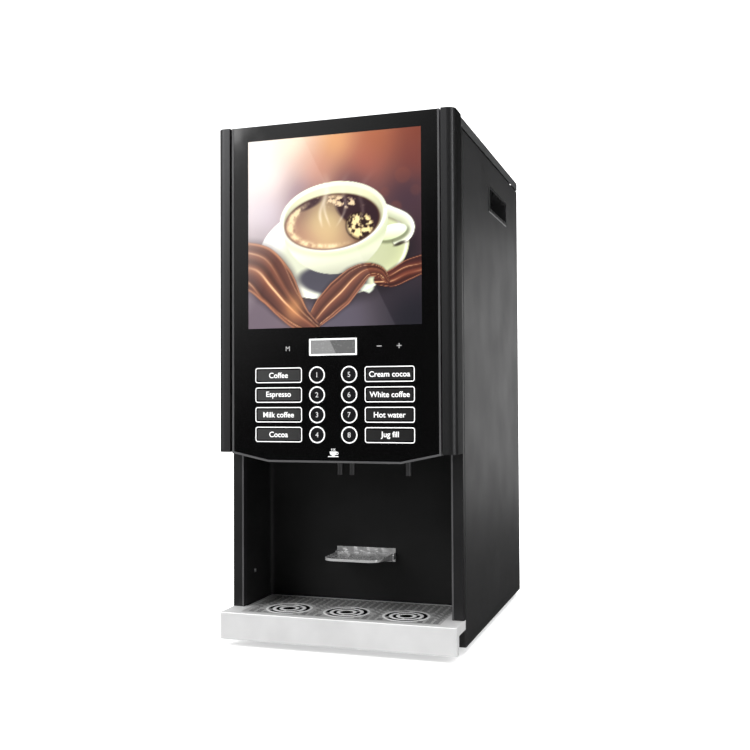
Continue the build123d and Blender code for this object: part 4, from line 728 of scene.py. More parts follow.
def lettering(name, words, x, z, size, weight, material, front=ink_front):
    """A word in plain upright letters, centred on a spot."""
    curve = bpy.data.curves.new(name, "FONT")
    curve.body = words
    curve.size = size
    curve.offset = weight
    curve.fill_mode = "BOTH"
    curve.extrude = ink_thick / 2
    curve.align_x = "CENTER"
    curve.align_y = "CENTER"
    piece = from_curve(name, curve, material, front)
    low = [min(p.co[i] for p in piece.data.vertices) for i in (0, 2)]
    high = [max(p.co[i] for p in piece.data.vertices) for i in (0, 2)]
    piece.data.transform(Matrix.Translation((x - (low[0] + high[0]) / 2, 0, z - (low[1] + high[1]) / 2)))
    return piece


def join(name, pieces):
    """Several pieces made one."""
    work = bmesh.new()
    for piece in pieces:
        work.from_mesh(piece.data)
    whole = bpy.data.meshes.new(name)
    work.to_mesh(whole)
    work.free()
    whole.materials.append(pieces[0].data.materials[0])
    for piece in pieces:
        bpy.data.objects.remove(piece)
    made = bpy.data.objects.new(name, whole)
    bpy.context.scene.collection.objects.link(made)
    return made


def ink(name, colour, glow_strength=0.0):
    """Hard glossy ink with a slight orange skin, and a painted glow of glow_strength."""
    made, tree, shader, coords = shading(
        name, colour, 0.35, Coat_Weight=0.6, Coat_Roughness=0.05,
        Emission_Color=(*colour, 1), Emission_Strength=glow_strength,
    )
    relief(tree, grain(tree, coords, 0.0006), shader, 0.000004)
    spread(tree, grain(tree, coords, 0.004), shader.inputs["Roughness"], 0.3, 0.42)
    return made


# The inks carry a painted glow that keeps the print bright whatever the light.
white_ink = ink("white_ink", (0.88, 0.88, 0.88), 0.30)
grey_ink = ink("grey_ink", (0.42, 0.42, 0.42), 0.05)
keys = [f"drink_key_{number}" for number in range(1, 9)]
key_spots = []
for key in keys:
    low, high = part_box(key)
    key_spots.append(((low.x + high.x) / 2, (low.z + high.z) / 2))
ring_inner, ring_outer = 10.95 * MM, 12.9 * MM
key_rings = inlay(
    "key_rings", [round_outline(x, z, r) for x, z in key_spots for r in (ring_inner, ring_outer)], white_ink
)
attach(key_rings, "door")

label_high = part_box("drink_labels")[1]
label_inner = 50.8 * MM
label_tall = 2 * (label_high.z - max(z for x, z in key_spots))
label_wide = label_high.x - label_inner
label_x = label_high.x - label_wide / 2
label_corner = 4 * MM
outline_width = 1.4 * MM
fill_inset = 3.5 * MM
label_spots = [(math.copysign(label_x, x), z) for x, z in key_spots]
label_frames = inlay(
    "label_frames",
    [
        box_outline(x, z, label_wide - 2 * inset, label_tall - 2 * inset, label_corner - inset)
        for x, z in label_spots
        for inset in (0, outline_width)
    ],
    white_ink,
)
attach(label_frames, "door")

fill_ink, fill_tree, fill_shader, fill_coords = shading(
    "smoke_ink", (0.03, 0.03, 0.03), 0.4, Coat_Weight=0.8
)
# Painted reflection: the fills are lighter on the machine's left and darker towards its right.
fill_sheen_mapping = fill_tree.nodes.new("ShaderNodeMapping")
fill_sheen_mapping.inputs["Scale"].default_value = (1 / (2 * label_high.x), 1, 1)
fill_sheen_mapping.inputs["Location"].default_value = (0.5, 0, 0)
fill_tree.links.new(fill_coords, fill_sheen_mapping.inputs["Vector"])
fill_sheen_split = fill_tree.nodes.new("ShaderNodeSeparateXYZ")
fill_tree.links.new(fill_sheen_mapping.outputs["Vector"], fill_sheen_split.inputs["Vector"])
tint(
    fill_tree, fill_sheen_split.outputs["X"], fill_shader.inputs["Base Color"],
    (0.030,) * 3, (0.006,) * 3, 0.0, 0.85,
)
spread(fill_tree, grain(fill_tree, fill_coords, 0.002), fill_shader.inputs["Roughness"], 0.35, 0.45)
label_fills = inlay(
    "label_fills",
    [
        box_outline(x, z, label_wide - 2 * fill_inset, label_tall - 2 * fill_inset, 0.6 * MM)
        for x, z in label_spots
    ],
    fill_ink, thick=ink_thick / 2, front=pane_low.y - ink_thick / 2,
)
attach(label_fills, "door")
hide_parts("drink_labels")

drinks = (
    "Coffee", "Espresso", "Milk coffee", "Cocoa", "Cream cocoa", "White coffee", "Hot water", "Jug fill",
)
word_size, word_weight = 11.8 * MM, 0.16 * MM
drink_words = join("drink_words", [
    lettering(f"word_{number}", drink, x, z, word_size, word_weight, white_ink)
    for number, (drink, (x, z)) in enumerate(zip(drinks, label_spots), start=1)
])
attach(drink_words, "door")

window_half = 38.6 * MM
window_low, window_high = 450.9 * MM, 476.8 * MM
window_mid = (window_low + window_high) / 2
window_tall = window_high - window_low
border = 2.5 * MM
mark_z = 463.5 * MM
menu_x, minus_x, plus_x = -74 * MM, 74 * MM, 105 * MM
stroke_long, stroke, stroke_corner = 7.6 * MM, 1.2 * MM, 0.3 * MM
touch_marks = join("touch_marks", [
    lettering("menu_mark", "M", menu_x, mark_z - 1.0 * MM, 10.5 * MM, 0, grey_ink),
    inlay("minus_mark", [box_outline(minus_x, mark_z, stroke_long, stroke, stroke_corner)], grey_ink),
    inlay("plus_bar", [box_outline(plus_x, mark_z, stroke_long, stroke, stroke_corner)], grey_ink),
    inlay("plus_upright", [
        box_outline(plus_x, mark_z + side * 2.2 * MM, stroke, 3.2 * MM, stroke_corner) for side in (-1, 1)
    ], grey_ink),
])
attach(touch_marks, "door")

mark_base = 297.5 * MM
cup_half, cup_deep = 5.6 * MM, 6.4 * MM
cup_top = mark_base + 7.6 * MM


def steam_edge(x, heights):
    """One wavy edge of a wisp of steam above the cup mark, at heights in millimetres."""
    return [(x + 0.45 * MM * math.sin(h * 2.2), mark_base + 8.8 * MM + h * MM) for h in heights]


cup_mark = join("cup_mark", [
    inlay("cup_shape", [
        [(-cup_half, cup_top), (cup_half, cup_top)]
        + [
            (cup_half * math.cos(a), cup_top - cup_deep * math.sin(a) ** 0.8)
            for a in [math.pi * i / 20 for i in range(1, 20)]
        ],
    ], white_ink),
    inlay("saucer_shape", [box_outline(0, mark_base, 17 * MM, 1.1 * MM, 0.5 * MM)], white_ink),
    inlay("cup_ear", [
        round_outline(6.1 * MM, mark_base + 5 * MM, r, 32) for r in (1.4 * MM, 2.3 * MM)
    ], white_ink, front=ink_front - ink_thick / 2),
    *[
        inlay(f"steam_{n}", [
            steam_edge(x, np.linspace(0, 3.4, 12)) + steam_edge(x + 0.8 * MM, np.linspace(3.4, 0, 12))
        ], white_ink)
        for n, x in enumerate((-2.9 * MM, -0.4 * MM, 2.1 * MM))
    ],
])
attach(cup_mark, "door")

# ---- Display ---------------------------------------------------------------------------------
# A small grey liquid-crystal window, flush with the pane, inside a printed white border. It is
# unlit; a painted reflection makes it lighter on one side of a slanting seam.
display_border = inlay("display_border", [
    box_outline(0, window_mid, 2 * window_half, window_tall, 0.8 * MM, 3),
    box_outline(0, window_mid, 2 * (window_half - border), window_tall - 2 * border, 0.4 * MM, 3),
], white_ink)
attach(display_border, "door")
lcd, lcd_tree, lcd_shader, lcd_coords = shading(
    "liquid_crystal_grey", (0.2, 0.2, 0.2), 0.25, Coat_Weight=1.0, Coat_Roughness=0.04
)
lcd_split = lcd_tree.nodes.new("ShaderNodeSeparateXYZ")
lcd_tree.links.new(lcd_coords, lcd_split.inputs["Vector"])
lcd_reflection_slant = lcd_tree.nodes.new("ShaderNodeMath")
lcd_reflection_slant.operation = "MULTIPLY_ADD"
lcd_reflection_slant.inputs[1].default_value = 0.5
lcd_tree.links.new(lcd_split.outputs["Z"], lcd_reflection_slant.inputs[0])
lcd_tree.links.new(lcd_split.outputs["X"], lcd_reflection_slant.inputs[2])
reflection_seam_at = window_mid * 0.5
lcd_scaled = lcd_tree.nodes.new("ShaderNodeMapRange")
lcd_scaled.inputs["From Min"].default_value = reflection_seam_at - window_half
lcd_scaled.inputs["From Max"].default_value = reflection_seam_at + window_half
lcd_tree.links.new(lcd_reflection_slant.outputs["Value"], lcd_scaled.inputs["Value"])
# Painted reflection: lighter grey on one side of the slanting seam, darker on the other.
tint(
    lcd_tree, lcd_scaled.outputs["Result"], lcd_shader.inputs["Base Color"],
    (0.235,) * 3, (0.115,) * 3, 0.495, 0.505,
)
spread(lcd_tree, grain(lcd_tree, lcd_coords, 0.003), lcd_shader.inputs["Roughness"], 0.2, 0.3)
lcd_gap = border + 0.3 * MM
display_window = inlay("display_window", [
    box_outline(0, window_mid, 2 * (window_half - lcd_gap), window_tall - 2 * lcd_gap, 0.3 * MM, 3)
], lcd)
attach(display_window, "door")

# ---- Drink keys ------------------------------------------------------------------------------
# Eight sprung caps in gloss black, each with its number printed on it in light grey. The number
# moves with its key.
key_gloss = moulded("gloss_black_cap", (0.008, 0.008, 0.009), 0.16, 0.0009, 0.000004)
dress(key_gloss, *keys)
# The numbers' ink has a painted glow too.
digit_grey = ink("light_grey_ink", (0.60, 0.60, 0.60), 0.18)
for number, (key, (x, z)) in enumerate(zip(keys, key_spots), start=1):
    cap_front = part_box(key)[0].y - ink_thick
    digit = lettering(f"digit_{number}", str(number), x, z, 11.0 * MM, 0.0, digit_grey, front=cap_front)
    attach(digit, key)

# ---- Nozzles and cup bay fittings ------------------------------------------------------------
# Three short dark tubes hang from the bay's ceiling: two for mixed drinks, one for hot water. A
# domed screw sits low on the bay's left wall.
dress(moulded("dark_nozzle_plastic", (0.028, 0.028, 0.029), 0.3), "nozzles")
screw_steel, screw_tree, screw_shader, screw_coords = shading("zinc_screw", (0.42, 0.42, 0.43), 0.3, 1.0)
spread(screw_tree, grain(screw_tree, screw_coords, 0.0008), screw_shader.inputs["Roughness"], 0.22, 0.42)
relief(screw_tree, grain(screw_tree, screw_coords, 0.0003), screw_shader, 0.000004)


def nodes_tree(name, *inputs):
    """A Geometry Nodes tree with geometry in and out, and named number inputs."""
    tree = bpy.data.node_groups.new(name, "GeometryNodeTree")
    tree.interface.new_socket("Geometry", in_out="INPUT", socket_type="NodeSocketGeometry")
    for label in inputs:
        tree.interface.new_socket(label, in_out="INPUT", socket_type="NodeSocketFloat")
    tree.interface.new_socket("Material", in_out="INPUT", socket_type="NodeSocketMaterial")
    tree.interface.new_socket("Geometry", in_out="OUTPUT", socket_type="NodeSocketGeometry")
    source = tree.nodes.new("NodeGroupInput")
    return tree, source.outputs


def add(tree, kind, result=0, settings=(), **inputs):
    """Adds a node, sets its options, fills or links its inputs by name, and returns an output."""
    made = tree.nodes.new(kind)
    for option, value in settings:
        setattr(made, option, value)
    for label, value in inputs.items():
        socket = made.inputs[int(label[1:]) if label[0] == "_" else label.replace("_", " ")]
        if isinstance(value, bpy.types.NodeSocket):
            tree.links.new(value, socket)
        else:
            socket.default_value = value
    return made.outputs[result]


def maths(tree, operation, first, second):
    """A sum on two numbers or outputs of a tree."""
    return add(tree, "ShaderNodeMath", settings=[("operation", operation)], _0=first, _1=second)


def close(tree, geometry, material):
    """Ends a tree: everything real, with its material."""
    real = add(tree, "GeometryNodeRealizeInstances", Geometry=geometry)
    done = add(tree, "GeometryNodeSetMaterial", Geometry=real, Material=material)
    sink = tree.nodes.new("NodeGroupOutput")
    tree.links.new(done, sink.inputs["Geometry"])


def grow(name, seed_points, tree, material, **values):
    """Runs a tree on some points and keeps the result as a plain mesh piece."""
    seeds = bpy.data.meshes.new(name)
    seeds.from_pydata([tuple(p) for p in seed_points], [], [])
    piece = bpy.data.objects.new(name, seeds)
    bpy.context.scene.collection.objects.link(piece)
    modifier = piece.modifiers.new("grow", "NODES")
    modifier.node_group = tree
    for item in tree.interface.items_tree:
        if item.in_out == "INPUT" and item.name in values:
            modifier[item.identifier] = values[item.name]
        if item.in_out == "INPUT" and item.name == "Material":
            modifier[item.identifier] = material
    depsgraph = bpy.context.evaluated_depsgraph_get()
    made = bpy.data.meshes.new_from_object(piece.evaluated_get(depsgraph))
    piece.modifiers.remove(modifier)
    piece.data = made
    made.name = name
    return piece


screws, sockets = nodes_tree("cross_head_screws", "radius", "turn_x", "turn_z")
dome = add(screws, "GeometryNodeMeshUVSphere", Segments=24, Rings=12, Radius=sockets["radius"])
dome = add(screws, "GeometryNodeTransform", Geometry=dome, Scale=(1, 1, 0.5))
slot_long = maths(screws, "MULTIPLY", sockets["radius"], 1.1)
slot_thin = maths(screws, "MULTIPLY", sockets["radius"], 0.24)
lift = maths(screws, "MULTIPLY", sockets["radius"], 0.5)
size_a = add(screws, "ShaderNodeCombineXYZ", X=slot_long, Y=slot_thin, Z=lift)
size_b = add(screws, "ShaderNodeCombineXYZ", X=slot_thin, Y=slot_long, Z=lift)
raised = add(screws, "ShaderNodeCombineXYZ", Z=lift)
cross = screws.nodes.new("GeometryNodeJoinGeometry")
for size in (size_a, size_b):
    bar = add(screws, "GeometryNodeMeshCube", Size=size)
    screws.links.new(add(screws, "GeometryNodeTransform", Geometry=bar, Translation=raised), cross.inputs[0])
cut = screws.nodes.new("GeometryNodeMeshBoolean")
cut.operation = "DIFFERENCE"
screws.links.new(dome, cut.inputs[0])
screws.links.new(cross.outputs[0], cut.inputs[1])
facing = add(screws, "ShaderNodeCombineXYZ", X=sockets["turn_x"], Z=sockets["turn_z"])
spots = add(screws, "GeometryNodeMeshToPoints", Mesh=sockets["Geometry"])
heads = add(screws, "GeometryNodeInstanceOnPoints", Points=spots, Instance=cut.outputs[0], Rotation=facing)
close(screws, heads, sockets["Material"])

bay_wall = bay_low.x + liner_wall
bay_screw_depth, bay_screw_height = 91 * MM, 103 * MM
bay_screw = grow(
    "bay_screw", [(bay_wall, glass_y + bay_screw_depth, bay_screw_height)], screws, screw_steel,
    radius=3.4 * MM, turn_x=math.pi / 2, turn_z=math.pi / 2,
)
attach(bay_screw, "cabinet")

# ---- Cup shelf -------------------------------------------------------------------------------
# A flip-up shelf pressed from thin polished stainless sheet. It is slightly dished and dented,
# so its reflections waver. Its bracket is the same steel.


def polished(name, colour, roughness, wave, depth, metallic=1.0):
    """Bright steel: fine scratches, and a slow waviness that bends its reflections."""
    made, tree, shader, coords = shading(name, colour, roughness, metallic)
    slow = grain(tree, coords, wave, 1.5)
    relief(tree, slow, shader, depth)
    scratches = grain(tree, coords, 0.0005, 2.0)
    spread(tree, scratches, shader.inputs["Roughness"], roughness * 0.7, roughness * 1.5)
    darker, lighter = [c * 0.92 for c in colour], [min(1, c * 1.06) for c in colour]
    tint(tree, scratches, shader.inputs["Base Color"], darker, lighter)
    return made


shelf_steel = polished("wavy_polished_steel", (0.84, 0.84, 0.84), 0.15, 0.012, 0.0016, 0.6)
dress(shelf_steel, "cup_shelf_bracket")
shelf_low, shelf_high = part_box("cup_shelf")
shelf_corner = 20 * MM
shelf_gauge = 1.2 * MM
nose_depth, side_depth = 4.0 * MM, shelf_high.z - shelf_low.z
plate_back = glass_y + 144.5 * MM


def shelf_line(inset):
    """The plate's outline from above, front corners rounded: left side, front, right side."""
    r = shelf_corner - inset
    left, right, front = shelf_low.x + inset, shelf_high.x - inset, shelf_low.y + inset
    turns = [math.pi / 2 * i / 10 for i in range(11)]
    line = [(left + r - r * math.cos(a), front + r - r * math.sin(a)) for a in turns]
    line += [(right - r + r * math.sin(a), front + r - r * math.cos(a)) for a in turns]
    return [(left, plate_back)] + line + [(right, plate_back)]


outer, inner = shelf_line(0), shelf_line(shelf_gauge)
plate_long = plate_back - shelf_low.y
drops = [
    nose_depth + (side_depth - nose_depth) * ((y - shelf_low.y) / plate_long) ** 2 for x, y in outer
]
count = len(outer)
shelf_points = [(x, y, shelf_high.z) for x, y in outer]
shelf_points += [(x, y, shelf_high.z - drop) for (x, y), drop in zip(outer, drops)]
shelf_points += [(x, y, shelf_high.z - drop) for (x, y), drop in zip(inner, drops)]
shelf_points += [(x, y, shelf_high.z - shelf_gauge) for x, y in inner]
shelf_faces = [tuple(range(count)), tuple(range(4 * count - 1, 3 * count - 1, -1))]
for ring in range(3):
    for i in range(count - 1):
        a, b = ring * count + i, (ring + 1) * count + i
        shelf_faces.append((a, b, b + 1, a + 1))
for end in (0, count - 1):
    shelf_faces.append(tuple(ring * count + end for ring in range(4)))
shelf_faces.append((0, count - 1, 4 * count - 1, 3 * count))
barrel_y, barrel_z = glass_y + 147 * MM, 127 * MM
barrel_outer, barrel_inner = shelf_high.y - barrel_y, 2.25 * MM
barrel_steps = 32
base = len(shelf_points)
for step in range(barrel_steps):
    turn = 2 * math.pi * step / barrel_steps
    for x, r in (
        (shelf_low.x, barrel_inner), (shelf_low.x, barrel_outer), (shelf_high.x, barrel_outer),
        (shelf_high.x, barrel_inner),
    ):
        shelf_points.append((x, barrel_y + r * math.cos(turn), barrel_z + r * math.sin(turn)))
for step in range(barrel_steps):
    here, there = base + 4 * step, base + 4 * ((step + 1) % barrel_steps)
    shelf_faces += [(here + i, there + i, there + (i + 1) % 4, here + (i + 1) % 4) for i in range(4)]
shelf = mesh_piece("cup_shelf_plate", shelf_points, shelf_faces, shelf_steel)
face_outwards(shelf.data)
shelf.data.shade_smooth()
shelf.data.set_sharp_from_angle(angle=math.radians(30))
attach(shelf, "cup_shelf")
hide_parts("cup_shelf")

# ---- Drip tray: cover, pan and lift-out grid -------------------------------------------------
# The cover is folded from brushed stainless steel, its grain running from side to side. The grid
# is pressed from the same sheet: rows of small slots, and a raised ring for each cup.


def brushed(name, colour, roughness, metallic=1.0, depth=0.000006):
    """Brushed stainless steel with its grain along X."""
    made, tree, shader, coords = shading(name, colour, roughness, metallic, Anisotropic=0.5)
    lines = grain(tree, coords, 0.00035, 4.0, (0.012, 1, 1))
    relief(tree, lines, shader, depth)
    spread(tree, lines, shader.inputs["Roughness"], roughness * 0.8, roughness * 1.3)
    cloud = grain(tree, coords, 0.05, 2.0)
    darker, lighter = [c * 0.94 for c in colour], [min(1, c * 1.04) for c in colour]
    tint(tree, cloud, shader.inputs["Base Color"], darker, lighter)
    return made


dress(brushed("brushed_tray_steel", (0.74, 0.74, 0.74), 0.40, 0.35), "tray_cover")
dress(moulded("black_pan_plastic", (0.014, 0.014, 0.014), 0.45), "drip_pan")

grid_low, grid_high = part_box("drip_grid")
ring_xs = (-97 * MM, 0, 97 * MM)
ring_y = glass_y + 57.5 * MM
slot_clear = 41.5 * MM
grid_margin = 4 * MM
side_spare, end_spare = 14 * MM, 6 * MM
row_slide, field_back = 5 * MM, 2 * MM
ring_proud = 0.3 * MM
grid_centre = (grid_low + grid_high) / 2
grid_size = grid_high - grid_low
plate, sockets = nodes_tree(
    "perforated_plate", "sheet", "slot_length", "slot_width", "pitch_x", "pitch_y", "clear"
)
outline = add(plate, "GeometryNodeCurvePrimitiveQuadrilateral", Width=grid_size.x, Height=grid_size.y)
outline = add(
    plate, "GeometryNodeTransform", Geometry=outline, Translation=(grid_centre.x, grid_centre.y, 0)
)
field_x = grid_size.x - 2 * grid_margin
field_y = grid_size.y - 2 * grid_margin - end_spare
field = add(
    plate, "GeometryNodeMeshGrid", Size_X=field_x - side_spare, Size_Y=field_y,
    Vertices_X=maths(plate, "DIVIDE", field_x, sockets["pitch_x"]),
    Vertices_Y=maths(plate, "DIVIDE", field_y, sockets["pitch_y"]),
)
field = add(
    plate, "GeometryNodeTransform", Geometry=field,
    Translation=(grid_centre.x, grid_centre.y + field_back, 0),
)
place = add(plate, "GeometryNodeInputPosition")
split = plate.nodes.new("ShaderNodeSeparateXYZ")
plate.links.new(place, split.inputs[0])
row = maths(plate, "DIVIDE", split.outputs["Y"], sockets["pitch_y"])
odd = maths(plate, "PINGPONG", row, 1.0)
shift = add(plate, "ShaderNodeCombineXYZ", X=maths(plate, "MULTIPLY", odd, row_slide))
field = add(plate, "GeometryNodeSetPosition", Geometry=field, Offset=shift)
reach = add(
    plate, "GeometryNodeProximity", result=1, settings=[("target_element", "POINTS")],
    _0=sockets["Geometry"],
)
near = add(
    plate, "FunctionNodeCompare", settings=[("operation", "LESS_THAN")], _0=reach, _1=sockets["clear"]
)
kept = add(plate, "GeometryNodeDeleteGeometry", Geometry=field, Selection=near)
slot_body = add(
    plate, "GeometryNodeCurvePrimitiveQuadrilateral",
    Width=sockets["slot_length"], Height=sockets["slot_width"],
)
slot_end = maths(plate, "MULTIPLY", sockets["slot_width"], 0.48)
slot_shape = add(
    plate, "GeometryNodeFilletCurve", Curve=slot_body, Count=3, Radius=slot_end, settings=[("mode", "POLY")]
)
slots_cut = add(plate, "GeometryNodeInstanceOnPoints", Points=kept, Instance=slot_shape)
arcs = plate.nodes.new("GeometryNodeJoinGeometry")
spoke_turn, half_spoke = 120, 7
for inner, outer, first in ((27 * MM, 32.5 * MM, 90), (16 * MM, 21 * MM, 30)):
    for spoke in range(3):
        arc = add(
            plate, "GeometryNodeCurveArc", settings=[("mode", "RADIUS")], Resolution=20,
            Radius=(inner + outer) / 2, Start_Angle=math.radians(first + spoke_turn * spoke + half_spoke),
            Sweep_Angle=math.radians(spoke_turn - 2 * half_spoke),
        )
        half_band = (outer - inner) / 2
        band = add(plate, "GeometryNodeCurveToMesh", Curve=arc, Profile_Curve=add(
            plate, "GeometryNodeCurvePrimitiveLine", Start=(-half_band, 0, 0), End=(half_band, 0, 0)
        ))
        plate.links.new(add(plate, "GeometryNodeMeshToCurve", Mesh=band, Selection=add(
            plate, "FunctionNodeCompare", settings=[("data_type", "INT"), ("operation", "EQUAL")],
            _2=add(plate, "GeometryNodeInputMeshEdgeNeighbors"), _3=1,
        )), arcs.inputs[0])
drain = add(plate, "GeometryNodeCurvePrimitiveCircle", Resolution=40, Radius=10 * MM)
plate.links.new(drain, arcs.inputs[0])
cup_points = add(plate, "GeometryNodeMeshToPoints", Mesh=sockets["Geometry"])
cup_cuts = add(plate, "GeometryNodeInstanceOnPoints", Points=cup_points, Instance=arcs.outputs[0])
every = plate.nodes.new("GeometryNodeJoinGeometry")
for shape in (outline, slots_cut, cup_cuts):
    plate.links.new(shape, every.inputs[0])
flat = add(plate, "GeometryNodeFillCurve", Curve=add(
    plate, "GeometryNodeRealizeInstances", Geometry=every.outputs[0]
))
rise = add(plate, "ShaderNodeCombineXYZ", Z=sockets["sheet"])
solid = add(plate, "GeometryNodeExtrudeMesh", Mesh=flat, Offset=rise, Individual=False)
solid = add(
    plate, "GeometryNodeStoreNamedAttribute", Geometry=solid, Selection=solid.node.outputs["Side"],
    Name="wall", Value=1.0, settings=[("data_type", "FLOAT"), ("domain", "FACE")],
)
under = add(plate, "GeometryNodeFlipFaces", Mesh=flat)
shell = plate.nodes.new("GeometryNodeJoinGeometry")
plate.links.new(solid, shell.inputs[0])
plate.links.new(under, shell.inputs[0])
whole = add(plate, "GeometryNodeMergeByDistance", Geometry=shell.outputs[0], Distance=0.00001)
close(plate, whole, sockets["Material"])
grid_steel = brushed("pressed_grid_steel", (0.50, 0.50, 0.50), 0.42, 0.45)
# Little light reaches the walls of the holes, so they are marked by the tree and coloured dark.
grid_tree = grid_steel.node_tree
grid_colour = grid_tree.nodes["Principled BSDF"].inputs["Base Color"]
walls = grid_tree.nodes.new("ShaderNodeAttribute")
walls.attribute_name = "wall"
shade = grid_tree.nodes.new("ShaderNodeMix")
shade.data_type = "RGBA"
shade_a, shade_b = [socket for socket in shade.inputs if socket.type == "RGBA"]
grid_tree.links.new(grid_colour.links[0].from_socket, shade_a)
hole_wall = (0.02, 0.02, 0.02, 1)
shade_b.default_value = hole_wall
grid_tree.links.new(walls.outputs["Fac"], shade.inputs[0])
shade_result = [socket for socket in shade.outputs if socket.type == "RGBA"][0]
grid_tree.links.new(shade_result, grid_colour)
grid_plate = grow(
    "drip_grid_plate", [(x, ring_y, 0) for x in ring_xs], plate, grid_steel,
    sheet=grid_size.z - ring_proud, slot_length=9 * MM, slot_width=2.8 * MM,
    pitch_x=12.4 * MM, pitch_y=6.2 * MM, clear=slot_clear,
)
grid_plate.data.transform(Matrix.Translation((0, 0, grid_low.z)))


def revolved(profile, centre, steps=72):
    """Points and faces of a closed ring, its (radius, height) profile turned about a vertical axis."""
    points, faces = [], []
    count = len(profile)
    for i in range(steps):
        a = 2 * math.pi * i / steps
        c, s = math.cos(a), math.sin(a)
        points += [(centre[0] + r * c, centre[1] + r * s, centre[2] + z) for r, z in profile]
        for j in range(count):
            k, m = (i + 1) % steps * count, (j + 1) % count
            faces.append((i * count + j, k + j, k + m, i * count + m))
    return points, faces


ridge_points, ridge_faces = [], []
ring_sunk = 0.1 * MM
ring_foot = grid_size.z - ring_proud - ring_sunk
for x in ring_xs:
    for radius, half_width in ((35.4, 1.9), (24, 2.7), (13.0, 2.7)):
        rim = [
            (
                (radius + half_width * math.cos(a)) * MM,
                ring_foot + (ring_proud + ring_sunk) * max(0, math.sin(a)) ** 0.7,
            )
            for a in [math.pi * i / 8 for i in range(9)]
        ]
        points, faces = revolved(rim, (x, ring_y, grid_low.z))
        ridge_faces += [tuple(len(ridge_points) + i for i in face) for face in faces]
        ridge_points += points
# The rings get a far lighter steel than the sheet they are pressed from: a painted highlight where the raised
# rings catch the light.
ridges = mesh_piece(
    "drip_grid_rings", ridge_points, ridge_faces,
    polished("ring_steel_painted_highlight", (0.95, 0.95, 0.95), 0.30, 0.02, 0.00004, 0.25), smooth=True,
)
for piece in (grid_plate, ridges):
    face_outwards(piece.data)
    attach(piece, "drip_grid")
    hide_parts("drip_grid")

# ---- Hand holds and feet ---------------------------------------------------------------------
# The hand holds are gloss black mouldings snapped into the side panels. The feet are soft black
# rubber pads.
dress(moulded("black_moulding", (0.016, 0.016, 0.0165), 0.24, 0.001, 0.00001), "hand_holds")
dress(moulded("black_rubber", (0.020, 0.020, 0.020), 0.72, 0.0004, 0.00006), "feet")

# ---- Rear of the machine ---------------------------------------------------------------------
# The rear panel is held by cross-head screws. It has a fan outlet behind a wire guard, rows of
# louvres, a threaded water inlet and a mains inlet with its rocker switch.
rear_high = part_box("rear_panel")[1]
rear_y = rear_high.y
edge_in = 8 * MM
fan_screw = 34 * MM
screw_heights = np.linspace(0.05, 0.75, 6)
rear_spots = [(side * (rear_high.x - edge_in), rear_y, z) for side in (-1, 1) for z in screw_heights]
rear_spots += [(x, rear_y, rear_high.z - edge_in) for x in (-0.06, 0.06)]
fan_low, fan_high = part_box("fan_housing")
fan_x, fan_z = (fan_low.x + fan_high.x) / 2, (fan_low.z + fan_high.z) / 2
rear_spots += [(fan_x + sx * fan_screw, rear_y, fan_z + sz * fan_screw) for sx in (-1, 1) for sz in (-1, 1)]
rear_screws = grow(
    "rear_screws", rear_spots, screws, screw_steel, radius=3.3 * MM, turn_x=-math.pi / 2, turn_z=0.0
)
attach(rear_screws, "cabinet")

guard, sockets = nodes_tree("wire_guard", "first_ring", "ring_pitch", "rings", "wire")
ring_dots = add(guard, "GeometryNodePoints", Count=sockets["rings"])
index = add(guard, "GeometryNodeInputIndex")
growth = maths(guard, "MULTIPLY", index, sockets["ring_pitch"])
ring_size = maths(guard, "ADD", growth, sockets["first_ring"])
unit_ring = add(guard, "GeometryNodeCurvePrimitiveCircle", Resolution=72, Radius=1.0)
rings = add(guard, "GeometryNodeInstanceOnPoints", Points=ring_dots, Instance=unit_ring, Scale=ring_size)
arms = guard.nodes.new("GeometryNodeJoinGeometry")
guard.links.new(add(guard, "GeometryNodeRealizeInstances", Geometry=rings), arms.inputs[0])
arm_root, arm_tip, arm_depth = 7 * MM, 44 * MM, -1.6 * MM
for arm in range(4):
    turn = Matrix.Rotation(math.radians(45 + 90 * arm), 3, "Z")
    root, tip = [turn @ Vector((reach, 0, 0)) for reach in (arm_root, arm_tip)]
    rod = add(
        guard, "GeometryNodeCurvePrimitiveLine", Start=(*root[:2], arm_depth), End=(*tip[:2], arm_depth)
    )
    guard.links.new(rod, arms.inputs[0])
wire_round = add(guard, "GeometryNodeCurvePrimitiveCircle", Resolution=10, Radius=sockets["wire"])
wires = add(
    guard, "GeometryNodeCurveToMesh", Curve=arms.outputs[0], Profile_Curve=wire_round, Fill_Caps=True
)
wires = add(guard, "GeometryNodeSetShadeSmooth", Geometry=wires)
upright = add(guard, "GeometryNodeTransform", Geometry=wires, Rotation=(-math.pi / 2, 0, 0))
spot = add(guard, "GeometryNodeMeshToPoints", Mesh=sockets["Geometry"])
close(guard, add(guard, "GeometryNodeInstanceOnPoints", Points=spot, Instance=upright), sockets["Material"])
chrome_wire = polished("zinc_wire", (0.62, 0.62, 0.64), 0.25, 0.01, 0.00002)
fan_guard = grow(
    "fan_guard", [(fan_x, rear_y + 3.2 * MM, fan_z)], guard, chrome_wire,
    first_ring=7 * MM, ring_pitch=5 * MM, rings=7, wire=0.8 * MM,
)
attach(fan_guard, "cabinet")

